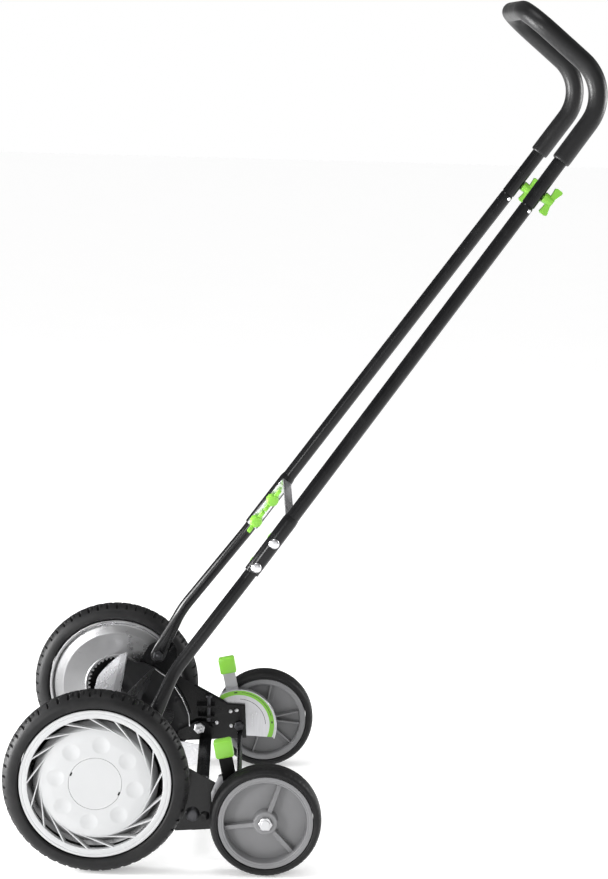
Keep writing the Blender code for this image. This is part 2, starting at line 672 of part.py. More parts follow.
def tie_bars(frame_body):
    """The flat bar behind the reel with upturned ends, and the round rod at the rear."""
    half = ARM_IN - GAP
    flat = [(0.131, 0.0462), (0.150, 0.0478), (0.150, 0.0518), (0.131, 0.0502)]
    bar = add("rear_tie_bar", sheet(flat, -half, half), BLACK_PAINT, frame_body)
    tab = [(0.138, 0.0480), (0.150, 0.0480), (0.156, 0.0750), (0.141, 0.0750)]
    tabs = [sheet(tab, half - 0.0028, half, side) for side in (1, -1)]
    boolean(bar, combine(*tabs), "UNION")
    tie = rod(0.004, -ARM_OUT, ARM_OUT, 16)
    add("rear_tie_rod", across(tie, TIE_ROD, 1), BLACK_PAINT, frame_body)


def frame_fasteners(side, prefix, frame_body):
    """The three pivot bolts on one side, each with its nut, and the bed knife's adjusting screw."""
    cutter = bolt(0.0050, 0.0100, LUG_IN - GAP, ARM_OUT + GAP, 0.0040, nut=0.0088, nut_height=0.0060)
    add(prefix + "_cutter_pivot_bolt", across(cutter, CUTTER_PIVOT, side), ZINC, frame_body, smooth=30)
    lever = bolt(0.0050, 0.0080, ARM_IN - GAP, LEVER_OUT + GAP, 0.0036, nut=0.0075, nut_height=0.0050)
    add(prefix + "_lever_pivot_bolt", across(lever, LEVER_PIVOT, side), ZINC, frame_body, smooth=30)
    handle = bolt(0.0040, 0.0085, 0.2067, ARM_OUT + GAP, 0.0050, nut=0.0080, nut_height=0.0036)
    add(prefix + "_handle_pivot_bolt", across(handle, HANDLE_PIVOT, side), ZINC, frame_body, smooth=30)
    screw = turned([(0, 0.0800), (0.0030, 0.0800), (0.0030, 0.1180), (0.0052, 0.1180), (0.0052, 0.1215),
                    (0, 0.1215)], 10, closed=False)
    aim(screw, place(ADJUSTER[0], side * 0.2040, 0), (0, 0, 1))
    add(prefix + "_adjusting_screw", screw, ZINC, frame_body, smooth=30)


# ---------------------------------------------------------------- height levers and trailing wheels

def quadrant(side, name, frame_body):
    """The fixed quarter disc that the lever runs over, with a turned-in rim."""
    edge = arc(LEVER_PIVOT, QUADRANT_RADIUS, -19, 117, 13)
    outline = edge + [(0.1560, 0.1020), (0.1600, 0.0570)]
    plate = add(name, sheet(outline, QUADRANT_IN, QUADRANT_OUT, side, [(*LEVER_PIVOT, 0.0053)]), ZINC, frame_body)
    band = arc(LEVER_PIVOT, QUADRANT_RADIUS, -19, 117, 13) + arc(LEVER_PIVOT, QUADRANT_RADIUS - 0.0018, 117, -19, 13)
    boolean(plate, sheet(band, 0.2070, QUADRANT_IN + 0.001, side), "UNION")


def lever_outline(first, last, first_radius, last_radius):
    """A flat link with round ends, between two (behind, up) places."""
    heading = math.degrees(math.atan2(last[1] - first[1], last[0] - first[0]))
    return (arc(first, first_radius, heading + 90, heading + 270, 7)
            + arc(last, last_radius, heading - 90, heading + 90, 7))


def height_lever(side, prefix, frame_body):
    """The lever swings about its pivot, and carries the trailing wheel's stub axle and the knob."""
    swing = body(prefix + "_lever_body", place(LEVER_PIVOT[0], side * 0.22, LEVER_PIVOT[1]), frame_body)
    link = sheet(lever_outline(LEVER_PIVOT, REAR_AXLE, 0.0140, 0.0120), LEVER_IN, LEVER_OUT, side,
                 [(*LEVER_PIVOT, 0.0053)])
    lever = add(prefix + "_height_lever", link, ZINC, swing, smooth=30)
    top = Vector((math.cos(LEVER_ANGLE), math.sin(LEVER_ANGLE)))
    wide = Vector((top.y, -top.x)) * 0.0095
    pivot = Vector(LEVER_PIVOT)
    corners = [pivot + top * 0.0075 - wide, pivot + top * 0.0075 + wide,
               pivot + top * 0.1035 + wide, pivot + top * 0.1035 - wide]
    stub = turned([(0, LEVER_IN + 0.0008), (0.0100, LEVER_IN + 0.0008), (0.0100, REAR_IN - GAP),
                   (0.0060, REAR_IN - GAP), (0.0060, 0.2735), (0, 0.2735)], 14, closed=False)
    arm = sheet([tuple(c) for c in corners], LEVER_IN, LEVER_OUT, side)
    nut = hexagon(0.0100, REAR_OUT + GAP, 0.2725)
    boolean(lever, combine(arm, across(stub, REAR_AXLE, side), across(nut, REAR_AXLE, side)), "UNION")

    middle = pivot + top * KNOB_DISTANCE
    knob = box((-0.0125, -0.0090, -0.0125), (0.0125, 0.0090, 0.0125))
    bmesh.ops.bevel(knob, geom=knob.edges[:], offset=0.0028, segments=2, affect="EDGES", profile=0.5)
    slot = box((-0.0098, -0.0018, -0.0200), (0.0098, 0.0018, 0.0073))
    lean = Matrix.Rotation(math.pi / 2 - LEVER_ANGLE, 4, "Y").inverted()
    spot = Matrix.Translation(place(middle.x, side * (LEVER_IN + LEVER_OUT) / 2, middle.y)) @ lean
    bmesh.ops.transform(knob, matrix=spot, verts=knob.verts)
    bmesh.ops.transform(slot, matrix=spot, verts=slot.verts)
    cap = add(prefix + "_lever_knob", knob, GREEN_PLASTIC, swing)
    boolean(cap, slot, "DIFFERENCE")

    spin = body(prefix + "_rear_wheel_body", place(REAR_AXLE[0], side * 0.25, REAR_AXLE[1]), swing)
    tyre = turned(tyre_profile(REAR_RADIUS, 0.0653, REAR_IN, REAR_OUT, 0.006), 32)
    add(prefix + "_rear_tyre", across(tyre, REAR_AXLE, side), RUBBER, spin)
    rim = turned([(0.0063, REAR_IN + 0.0005), (0.0150, REAR_IN + 0.0005), (0.0150, 0.2480), (0.0560, 0.2440),
                  (0.0575, REAR_IN + 0.0015), (0.0645, REAR_IN + 0.0015), (0.0645, REAR_OUT - 0.0015),
                  (0.0575, REAR_OUT - 0.0015), (0.0560, 0.2475), (0.0160, 0.2515), (0.0160, REAR_OUT - 0.0005),
                  (0.0063, REAR_OUT - 0.0005)], 24)
    wheel = add(prefix + "_rear_wheel", across(rim, REAR_AXLE, side), GREY_PLASTIC, spin)
    ribs = []
    for k in range(3):
        rib = box((0.0140, -0.0020, 0.2480), (0.0575, 0.0020, 0.2600))
        bmesh.ops.rotate(rib, verts=rib.verts, matrix=Matrix.Rotation(math.radians(69 + 120 * k), 3, "Z"))
        ribs.append(rib)
    for k in range(3):
        rib = box((0.0140, -0.0010, 0.2345), (0.0575, 0.0010, 0.2470))
        bmesh.ops.rotate(rib, verts=rib.verts, matrix=Matrix.Rotation(math.radians(9 + 120 * k), 3, "Z"))
        ribs.append(rib)
    boolean(wheel, across(combine(*ribs), REAR_AXLE, side), "UNION")


# ---------------------------------------------------------------- handle

def tube_point(point, side):
    return place(point[0], side * point[1], point[2])


def tube_direction(side):
    """Up the lower tube's flattened end, in the plane of the plate that it is bolted to."""
    run = tube_point(LOWER_BEND, side) - place(HANDLE_PIVOT[0], 0.0, HANDLE_PIVOT[1])
    return Vector((run.x, 0, run.z)).normalized()


def along_middle(distance, side):
    """A point on the middle tube's axis, measured up from its sleeve's end."""
    start = tube_point(SLEEVE_END, side)
    return start + (tube_point(UPPER_END, side) - start).normalized() * distance


def lower_tube(side, name, handle):
    """A tube with a flattened, drilled lower end; its upper end sits inside the sleeve."""
    pivot = place(HANDLE_PIVOT[0], side * TONGUE, HANDLE_PIVOT[1])
    rise = tube_direction(side)
    neck = pivot + rise * 0.028 - Vector((0, side * 0.0042, 0))
    run = smooth_path([neck, tube_point(LOWER_BEND, side), along_middle(-0.012, side), along_middle(0.075, side)],
                      [0.110, 0.080])
    points = [pivot + rise * s for s in (-0.0110, -0.0075, 0.0, 0.013)] + run
    flat = [(0.0023, 0.0065), (0.0025, 0.0100), (0.0025, 0.0115), (0.0026, 0.0112), (0.0058, 0.0103)]
    sections = flat + [(LOWER_TUBE_RADIUS, LOWER_TUBE_RADIUS)] * (len(run) - 1)
    tube = add(name, swept(points, sections, (0, 1, 0)), BLACK_PAINT, handle)
    drills = [across(rod(0.0043, 0.190, 0.230, 12), HANDLE_PIVOT, side)]
    drills += [aim(rod(0.0033, -0.02, 0.02, 8), along_middle(d, side), (0, 1, 0)) for d in SLEEVE_BOLTS]
    boolean(tube, combine(*drills), "DIFFERENCE")


def middle_tube(side, name, handle):
    """A straight tube: a wide sleeve over the lower tube, and a reduced end inside the upper handle."""
    start = tube_point(SLEEVE_END, side)
    heading = tube_point(UPPER_END, side) - start
    length = heading.length
    profile = [(0, 0.080), (0.0091, 0.080), (0.0091, 0), (SLEEVE_RADIUS, 0), (SLEEVE_RADIUS, SLEEVE_LENGTH),
               (MIDDLE_TUBE_RADIUS, SLEEVE_LENGTH + 0.004), (MIDDLE_TUBE_RADIUS, length - 0.003),
               (0.0086, length - 0.001), (0.0086, length + UPPER_OVERLAP), (0, length + UPPER_OVERLAP)]
    shell = add(name, aim(turned(profile, 14, closed=False), start, heading), BLACK_PAINT, handle)
    drills = [aim(rod(0.0033, -0.02, 0.02, 8), along_middle(d, side), (0, 1, 0)) for d in SLEEVE_BOLTS]
    drills.append(aim(rod(0.0033, -0.02, 0.02, 8), along_middle(length + UPPER_BOLT, side), rearward(side)))
    boolean(shell, combine(*drills), "DIFFERENCE")


def rearward(side):
    """Square to the upper tubes, pointing back and down."""
    heading = (tube_point(UPPER_END, side) - tube_point(SLEEVE_END, side)).normalized()
    return Vector((-heading.z, 0, heading.x)).normalized()


def upper_path(extra=0.0):
    """The upper handle's centre line, left end to right end; extra starts it further up the legs."""
    corners = []
    for side in (1, -1):
        end = tube_point(UPPER_END, side)
        bend = tube_point(GRIP_BEND, side)
        top = tube_point(CROSS_BAR, side)
        leg = [end + (bend - end).normalized() * extra, bend, top]
        corners += leg if side > 0 else leg[::-1]
    return smooth_path(corners, [0.062, 0.045, 0.045, 0.062])


def upper_handle(handle):
    """The U-shaped upper handle, bored at both ends to take the middle tubes."""
    path = upper_path()
    sections = [(UPPER_TUBE_RADIUS, UPPER_TUBE_RADIUS)] * len(path)
    tube = add("upper_handle", swept(path, sections, (0, 1, 0)), BLACK_PAINT, handle)
    bores = []
    for side in (1, -1):
        start = tube_point(UPPER_END, side)
        heading = start - tube_point(SLEEVE_END, side)
        bores.append(aim(rod(0.0091, -0.010, UPPER_OVERLAP + 0.003, 14), start, heading))
        spot = start + heading.normalized() * UPPER_BOLT
        bores.append(aim(rod(0.0033, -0.0095, 0.02, 8), spot, rearward(side)))
    boolean(tube, combine(*bores), "DIFFERENCE")


def foam_grip(handle):
    path = upper_path(extra=0.0730)
    sections = [(GRIP_RADIUS, GRIP_RADIUS)] * len(path)
    grip = swept(path, sections, (0, 1, 0), segments=12, bore=UPPER_TUBE_RADIUS + 2 * GAP)
    add("foam_grip", grip, FOAM, handle)


def handle_brace(handle):
    """A flat strap from tube to tube, its legs bolted along the sleeves' inner sides."""
    inset = SLEEVE_RADIUS + 0.0004
    corners = []
    for side in (1, -1):
        heading = (tube_point(UPPER_END, side) - tube_point(SLEEVE_END, side)).normalized()
        inward = Vector((0, -side, 0))
        inward = (inward - heading * inward.dot(heading)).normalized()
        leg = [along_middle(0.001, side) + inward * (inset + 0.0012),
               along_middle(0.089, side) + inward * (inset + 0.0012)]
        corners += leg if side > 0 else leg[::-1]
    path = smooth_path(corners, [0.012, 0.012], step=math.radians(25))
    wide = rearward(1)
    wide = Vector((wide.x, 0, wide.z)).normalized() * 0.0070
    bm = bmesh.new()
    rings = []
    for k, point in enumerate(path):
        ahead = (path[min(k + 1, len(path) - 1)] - path[max(k - 1, 0)]).normalized()
        thick = ahead.cross(wide).normalized() * 0.0012
        rings.append([bm.verts.new(point + a * wide + b * thick) for a, b in ((-1, -1), (1, -1), (1, 1), (-1, 1))])
    for lower, upper in zip(rings, rings[1:]):
        for n in range(4):
            m = (n + 1) % 4
            bm.faces.new((lower[n], lower[m], upper[m], upper[n]))
    bm.faces.new(rings[0])
    bm.faces.new(rings[-1])
    brace = add("handle_brace", bm, ZINC, handle, smooth=30)
    drills = []
    for side in (1, -1):
        drills += [aim(rod(0.0033, -0.03, 0.03, 8), along_middle(d, side), (0, 1, 0)) for d in SLEEVE_BOLTS]
    boolean(brace, combine(*drills), "DIFFERENCE")


def wing_nut(name, spot, direction, wing_heading, handle, stud=0.0):
    """A plastic wing nut; the upper ones have their screw moulded in, and a taller T-shaped bar."""
    turning = body(name + "_body", spot, handle)
    if stud:
        outside = [(0.0076, 0), (0.0070, 0.0085), (0.0060, 0.0148), (0, 0.0150)]
        outline = [(0.0040, 0.0075), (0.0120, 0.0070), (0.0185, 0.0062), (0.0200, 0.0085), (0.0200, 0.0160),
                   (0.0180, 0.0180), (0.0120, 0.0165), (0.0040, 0.0140)]
        half = 0.0042
    else:
        outside = [(0.0098, 0), (0.0094, 0.0080), (0.0075, 0.0108), (0, 0.0112)]
        outline = [(0.0070, 0.0012), (0.0120, 0.0016), (0.0190, 0.0050), (0.0197, 0.0090), (0.0185, 0.0114),
                   (0.0150, 0.0118), (0.0070, 0.0092)]
        half = 0.0028
    inside = [(0, -stud), (0.0030, -stud), (0.0030, 0)] if stud else [(0, 0.0095), (0.0033, 0.0095), (0.0033, 0)]
    wings = []
    for turn in (0, math.pi):
        wing = bmesh.new()
        faces = [[wing.verts.new((x, y, z)) for x, z in outline] for y in (-half, half)]
        for face in faces:
            wing.faces.new(face)
        for n in range(len(outline)):
            m = (n + 1) % len(outline)
            wing.faces.new((faces[0][n], faces[0][m], faces[1][m], faces[1][n]))
        bmesh.ops.rotate(wing, verts=wing.verts, matrix=Matrix.Rotation(turn, 3, "Z"))
        wings.append(wing)
    pose = aimed_frame(spot, direction, wing_heading)
    hub = turned(inside + outside, 10, closed=False)
    both = combine(*wings)
    bmesh.ops.transform(hub, matrix=pose, verts=hub.verts)
    bmesh.ops.transform(both, matrix=pose, verts=both.verts)
    boolean(add(name, hub, GREEN_PLASTIC, turning), both, "UNION")


def aimed_frame(spot, direction, heading):
    """A placing matrix: +Z along a direction, and +X as near to a heading as that allows."""
    z_axis = Vector(direction).normalized()
    x_axis = Vector(heading)
    x_axis = (x_axis - z_axis * x_axis.dot(z_axis)).normalized()
    y_axis = z_axis.cross(x_axis)
    turn = Matrix((x_axis, y_axis, z_axis)).transposed().to_4x4()
    return Matrix.Translation(spot) @ turn


def handle_fasteners(side, prefix, handle):
    """Two round-headed bolts with wing nuts at the sleeve, and a wing screw at the upper joint."""
    heading = (tube_point(UPPER_END, side) - tube_point(SLEEVE_END, side)).normalized()
    for distance, label in zip(SLEEVE_BOLTS, ("lower", "middle")):
        spot = along_middle(distance, side)
        shank = bolt(0.0030, 0.0072, -0.0215, SLEEVE_RADIUS + 0.0007, 0.0040, dome=True)
        add(f"{prefix}_{label}_bolt", aim(shank, spot, (0, side, 0)), ZINC, handle, smooth=30)
        base = spot - Vector((0, side * (SLEEVE_RADIUS + 0.0038), 0))
        wing_nut(f"{prefix}_{label}_wing_nut", base, (0, -side, 0), heading, handle)
    back = rearward(side)
    spot = tube_point(UPPER_END, side) + heading * UPPER_BOLT + back * (UPPER_TUBE_RADIUS + 0.0006)
    wing_nut(f"{prefix}_upper_wing_screw", spot, back, heading, handle, stud=0.0185)


# ---------------------------------------------------------------- the whole mower

def build():
    clear_scene()
    frame_body = body("chassis_body")
    handle = body("handle_body", place(HANDLE_PIVOT[0], 0, HANDLE_PIVOT[1]), frame_body)
    for side, prefix in ((1, "left"), (-1, "right")):
        side_plate(side, prefix + "_side_plate", frame_body)
        rear_arm(side, prefix + "_rear_arm", frame_body)
        quadrant(side, prefix + "_quadrant", frame_body)
        main_axle(side, prefix, frame_body)
        frame_fasteners(side, prefix, frame_body)
        driven_wheel(side, prefix, frame_body)
        height_lever(side, prefix, frame_body)
        lower_tube(side, prefix + "_lower_tube", handle)
        middle_tube(side, prefix + "_middle_tube", handle)
        handle_fasteners(side, prefix, handle)
    top_tie_bar(frame_body)
    cutter_bar(frame_body)
    tie_bars(frame_body)
    reel(frame_body)
    upper_handle(handle)
    foam_grip(handle)
    handle_brace(handle)


build()
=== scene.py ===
"""Looks for the reel mower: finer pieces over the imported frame, materials, lights and the camera."""

import json
import math

import bmesh
import bpy
from mathutils import Matrix, Vector


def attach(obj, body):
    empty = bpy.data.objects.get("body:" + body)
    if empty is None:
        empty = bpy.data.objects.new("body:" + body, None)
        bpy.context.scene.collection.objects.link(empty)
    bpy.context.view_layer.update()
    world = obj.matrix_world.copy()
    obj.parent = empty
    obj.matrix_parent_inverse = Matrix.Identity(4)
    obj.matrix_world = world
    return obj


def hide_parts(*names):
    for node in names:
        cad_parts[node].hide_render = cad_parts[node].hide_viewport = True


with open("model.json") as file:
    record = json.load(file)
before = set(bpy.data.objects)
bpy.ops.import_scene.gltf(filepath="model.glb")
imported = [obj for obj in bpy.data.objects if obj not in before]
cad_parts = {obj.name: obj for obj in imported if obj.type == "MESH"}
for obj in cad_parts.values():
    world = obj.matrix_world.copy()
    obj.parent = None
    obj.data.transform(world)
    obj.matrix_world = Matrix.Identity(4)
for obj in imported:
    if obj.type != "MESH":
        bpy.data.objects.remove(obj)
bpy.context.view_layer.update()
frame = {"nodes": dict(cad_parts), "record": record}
NODES = frame["nodes"]
BODY_OF = {node: body for body, nodes in frame["record"]["behaviour"]["bodies"].items() for node in nodes}
SLOT_OF = {part["node"]: part["material_slot"] for part in frame["record"]["subparts"]}

# ---------------------------------------------------------------- sizes, in metres

# A spot is (behind, up) and a corner (behind, across, up): behind the main axle, across from the mower's
# middle, up from the floor. The outward places in turned profiles are distances across, too.
AXLE_X = 0.2711          # the main axle, forward of the frame's origin
AXLE = (0.0, 0.127)
REEL_OFFSET, REEL_ANGLE = 0.033, math.radians(35)
REEL = (REEL_OFFSET * math.cos(REEL_ANGLE), AXLE[1] - REEL_OFFSET * math.sin(REEL_ANGLE))
LEVER_PIVOT = (0.192, 0.072)
REAR_AXLE = (0.231, 0.0762)
CUTTER_PIVOT = (0.131, 0.070)
HANDLE_PIVOT = (0.065, 0.182)
TONGUE = 0.2095          # how far across the lower tubes are pinned
LOWER_BEND = (0.101, 0.1840, 0.262)
SLEEVE_END = (0.204, 0.1636, 0.4005)
UPPER_END = (0.567, 0.1277, 0.9105)
GRIP_BEND = (0.6780, 0.1170, 1.0690)
CROSS_BAR = (0.555, 0.1170, 1.1710)
SLEEVE_BOLTS = (0.011, 0.052)          # above the sleeve's lower end
GRIP_BENDS = (0.062, 0.045, 0.045, 0.062)          # radii of the upper tube's four bends
TYRE_MIDDLE = 0.250
REAR_MIDDLE = 0.2495
SIPES = 52
REAR_NOTCHES = 64
VANES = 17
RING_TEETH = 38
BLADES = 5
BLADE_START = math.radians(20)
BLADE_TWIST = math.radians(32)
REEL_HALF = 0.199
LEAST_RADIUS = 0.00002          # stands for zero, so that a turned face keeps its corners
SIDES = ((1, "left"), (-1, "right"))


def place(behind, across, up):
    """A point of the mower: behind the main axle, across to the left, up from the floor."""
    return Vector((AXLE_X - behind, across, up))


# ---------------------------------------------------------------- materials

class Nodes:
    """A short way to wire a material's nodes."""

    def __init__(self, name):
        self.material = bpy.data.materials.new(name)
        self.material.use_nodes = True
        self.tree = self.material.node_tree
        self.shader = self.tree.nodes["Principled BSDF"]
        self.where = self.add("ShaderNodeTexCoord").outputs["Object"]

    def add(self, kind, inputs=None, **settings):
        node = self.tree.nodes.new(kind)
        for key, value in settings.items():
            setattr(node, key, value)
        for key, value in (inputs or {}).items():
            if isinstance(value, bpy.types.NodeSocket):
                self.tree.links.new(value, node.inputs[key])
            else:
                node.inputs[key].default_value = value
        return node

    def noise(self, scale, detail=4.0, stretch=None):
        where = self.vector("MULTIPLY", self.where, stretch).outputs[0] if stretch else self.where
        return self.add("ShaderNodeTexNoise", {"Vector": where, "Scale": scale, "Detail": detail,
                                               "Roughness": 0.55}).outputs["Fac"]

    def remap(self, value, low, high, start=0.3, end=0.7):
        return self.add("ShaderNodeMapRange", {"Value": value, "From Min": start, "From Max": end,
                                               "To Min": low, "To Max": high}).outputs["Result"]

    def math(self, operation, first, second=0.0):
        return self.add("ShaderNodeMath", {0: first, 1: second}, operation=operation).outputs[0]

    def vector(self, operation, first, second=(0.0, 0.0, 0.0)):
        return self.add("ShaderNodeVectorMath", {0: first, 1: second}, operation=operation)

    def between(self, value, low, high):
        """One where a value lies between two limits, and zero elsewhere."""
        above, below = self.math("GREATER_THAN", value, low), self.math("LESS_THAN", value, high)
        return self.math("MULTIPLY", above, below)

    def split(self, vector):
        return self.add("ShaderNodeSeparateXYZ", {"Vector": vector}).outputs

    def off_axis(self, spot):
        """The offset from a line across the mower, and its length."""
        offset = self.vector("SUBTRACT", self.where, tuple(place(spot[0], 0.0, spot[1]))).outputs[0]
        flat = self.vector("MULTIPLY", offset, (1.0, 0.0, 1.0)).outputs[0]
        return flat, self.vector("LENGTH", flat).outputs["Value"]

    def blend(self, fac, first, second):
        """A mix of two colours, whose sockets on a Mix node are the seventh and the eighth."""
        node = self.add("ShaderNodeMix", data_type="RGBA")
        for socket, value in ((node.inputs[0], fac), (node.inputs[6], first), (node.inputs[7], second)):
            if isinstance(value, bpy.types.NodeSocket):
                self.tree.links.new(value, socket)
            else:
                socket.default_value = (*value, 1.0) if isinstance(value, tuple) else value
        return node.outputs[2]

    def colour(self, socket):
        self.tree.links.new(socket, self.shader.inputs["Base Color"])

    def roughness(self, socket):
        self.tree.links.new(socket, self.shader.inputs["Roughness"])

    def bump(self, height, strength, distance):
        bump = self.add("ShaderNodeBump", {"Height": height, "Strength": strength, "Distance": distance})
        self.tree.links.new(bump.outputs["Normal"], self.shader.inputs["Normal"])

    def set(self, **values):
        for key, value in values.items():
            self.shader.inputs[key.replace("_", " ")].default_value = value


def shades(colour, amount):
    """A darker and a lighter version of a colour."""
    return tuple(c * (1 - amount) for c in colour), tuple(min(1.0, c * (1 + amount)) for c in colour)


def painted(name, colour, rough):
    """Sprayed enamel: orange peel, faint dust and dull patches."""
    n = Nodes(name)
    patches = n.noise(14.0, 5.0)
    dust = n.remap(n.noise(55.0, 6.0), 0.0, 0.10, 0.52, 0.75)
    n.colour(n.blend(dust, n.blend(patches, *shades(colour, 0.35)), (0.06, 0.06, 0.06)))
    n.roughness(n.remap(patches, rough * 0.8, rough * 1.3))
    n.bump(n.noise(900.0, 2.0), 0.08, 0.0003)
    n.set(Specular_IOR_Level=0.32)
    return n.material


def metal(name, colour, rough, stretch=(1.0, 0.06, 1.0), scale=380.0, stain=(0.30, 0.29, 0.27), stains=0.25,
          painted_shade_span=None, turning=0.0, contrast=0.16):
    """Rolled or plated steel: streaks, dull clouds and small stains.

    The span for painted shade is the range of distances across, from the mower's middle, where the surface is
    painted near black as shade.
    Turning is the strength of the fine rings that a lathe leaves.
    """
    n = Nodes(name)
    streaks = n.noise(scale, 6.0, stretch)
    clouds = n.noise(22.0, 5.0)
    plain = n.blend(streaks, *shades(colour, contrast))
    finish = n.blend(n.remap(clouds, 0.0, stains, 0.5, 0.75), plain, stain)
    # Painted shade: inside the span the colour is near black.
    if painted_shade_span:
        across = n.math("ABSOLUTE", n.split(n.where)["Y"])
        finish = n.blend(n.between(across, *painted_shade_span), finish, (0.012, 0.012, 0.012))
    n.colour(finish)
    n.roughness(n.math("ADD", n.remap(streaks, rough * 0.75, rough * 1.25), n.remap(clouds, 0.0, 0.12)))
    n.bump(n.noise(90.0, 2.0, stretch), contrast * 0.4, 0.0002)
    n.set(Metallic=1.0)
    if turning:
        tangent = n.add("ShaderNodeTangent", direction_type="RADIAL", axis="Y").outputs["Tangent"]
        n.tree.links.new(tangent, n.shader.inputs["Tangent"])
        n.set(Anisotropic=turning)
    return n.material


def plastic(name, colour, rough, grain=1500.0, depth=0.10, spread=0.10, subsurface=0.0):
    """Moulded plastic with a fine texture, slight clouding, and scuffs."""
    n = Nodes(name)
    clouds = n.noise(18.0, 4.0)
    scuffs = n.remap(n.noise(240.0, 5.0, (1.0, 0.3, 1.0)), 0.0, 0.10, 0.5, 0.8)
    n.colour(n.blend(clouds, *shades(colour, spread)))
    n.roughness(n.math("ADD", n.remap(clouds, rough * 0.85, rough * 1.15), scuffs))
    n.bump(n.noise(grain, 2.0), depth, 0.0004)
    n.set(Subsurface_Weight=subsurface, Subsurface_Scale=0.002)
    return n.material


def hubcap_plastic(name, colour, rough):
    """Silver-white plastic, with painted shade darkening the bottom of the ring-shaped recess that the vanes
    cross.
    """
    n = Nodes(name)
    clouds = n.noise(18.0, 4.0)
    # Painted shade: deeper in the recess the colour darkens to a dark grey, as shade there.
    painted_shade_depth = n.remap(n.math("ABSOLUTE", n.split(n.where)["Y"]), 1.0, 0.0, 0.2600, 0.2636)
    recess = n.between(n.off_axis(AXLE)[1], 0.0735, 0.0905)
    plain = n.blend(clouds, *shades(colour, 0.03))
    n.colour(n.blend(n.math("MULTIPLY", painted_shade_depth, recess), plain, (0.16, 0.16, 0.163)))
    n.roughness(n.remap(clouds, rough * 0.85, rough * 1.15))
    n.bump(n.noise(1500.0, 2.0), 0.10, 0.0004)
    return n.material


def rubber(name, colour):
    """Moulded rubber: a matt bloom, a fine grain and grey dust in patches."""
    n = Nodes(name)
    clouds = n.noise(26.0, 6.0)
    dust = n.remap(clouds, 0.0, 0.30, 0.45, 0.8)
    n.colour(n.blend(dust, n.blend(n.noise(160.0), *shades(colour, 0.3)), (0.045, 0.044, 0.043)))
    n.roughness(n.remap(clouds, 0.44, 0.56))
    n.bump(n.noise(700.0, 4.0), 0.16, 0.0004)
    n.set(Specular_IOR_Level=0.26)
    return n.material


def foam(name, colour):
    """Closed-cell foam: small pores over a soft sheen."""
    n = Nodes(name)
    pores = n.add("ShaderNodeTexVoronoi", {"Vector": n.where, "Scale": 620.0}).outputs["Distance"]
    mottle = n.math("ADD", n.math("MULTIPLY", pores, 0.6), n.math("MULTIPLY", n.noise(35.0), 0.5))
    n.colour(n.blend(mottle, *shades(colour, 0.35)))
    n.roughness(n.remap(n.noise(60.0), 0.32, 0.44))
    n.bump(n.math("ADD", pores, n.math("MULTIPLY", n.noise(300.0, 5.0), 0.6)), 0.22, 0.0005)
    n.set(Sheen_Weight=0.04, Sheen_Roughness=0.4, Specular_IOR_Level=0.40)
    return n.material


def scale_plate(name, colour, green):
    """Plated steel; printed on its inner face are a green band with two ticks, and on it two thin dark arcs
    are painted shade lines.
    """
    n = Nodes(name)
    streaks = n.noise(420.0, 6.0, (1.0, 1.0, 0.12))
    dull = n.remap(n.noise(30.0, 5.0), 0.0, 0.2, 0.5, 0.75)
    steel = n.blend(dull, n.blend(streaks, *shades(colour, 0.14)), (0.36, 0.35, 0.33))
    flat, radius = n.off_axis(LEVER_PIVOT)
    parts = n.split(flat)
    angle = n.math("ARCTAN2", parts["Z"], n.math("MULTIPLY", parts["X"], -1.0))
    normal = n.split(n.add("ShaderNodeNewGeometry").outputs["Normal"])["Y"]
    outward = n.math("MULTIPLY", normal, n.math("SIGN", n.split(n.where)["Y"]))
    face = n.math("LESS_THAN", outward, -0.8)
    band = n.math("MULTIPLY", n.between(radius, 0.0476, 0.0548), face)
    # Painted shade: two thin dark arcs along the lever's arc.
    outer_shade_arc = n.math("MULTIPLY", n.between(radius, 0.0514, 0.0521), n.between(angle, 0.30, 1.50))
    inner_shade_arc = n.math("MULTIPLY", n.between(radius, 0.0408, 0.0415), n.between(angle, 0.05, 1.55))
    shade_arcs = n.math("MULTIPLY", n.math("MAXIMUM", outer_shade_arc, inner_shade_arc), face)
    ticks = n.math("MAXIMUM", n.between(angle, 0.06, 0.13), n.between(angle, 1.64, 1.74))
    ticks = n.math("MULTIPLY", n.math("MULTIPLY", ticks, n.between(radius, 0.0505, 0.0525)), band)
    n.colour(n.blend(n.math("MAXIMUM", ticks, shade_arcs), n.blend(band, steel, green), (0.01, 0.01, 0.01)))
    n.roughness(n.remap(streaks, 0.26, 0.42))
    n.tree.links.new(n.math("SUBTRACT", 1.0, n.math("MULTIPLY", band, 0.9)), n.shader.inputs["Metallic"])
    n.bump(streaks, 0.08, 0.0003)
    return n.material


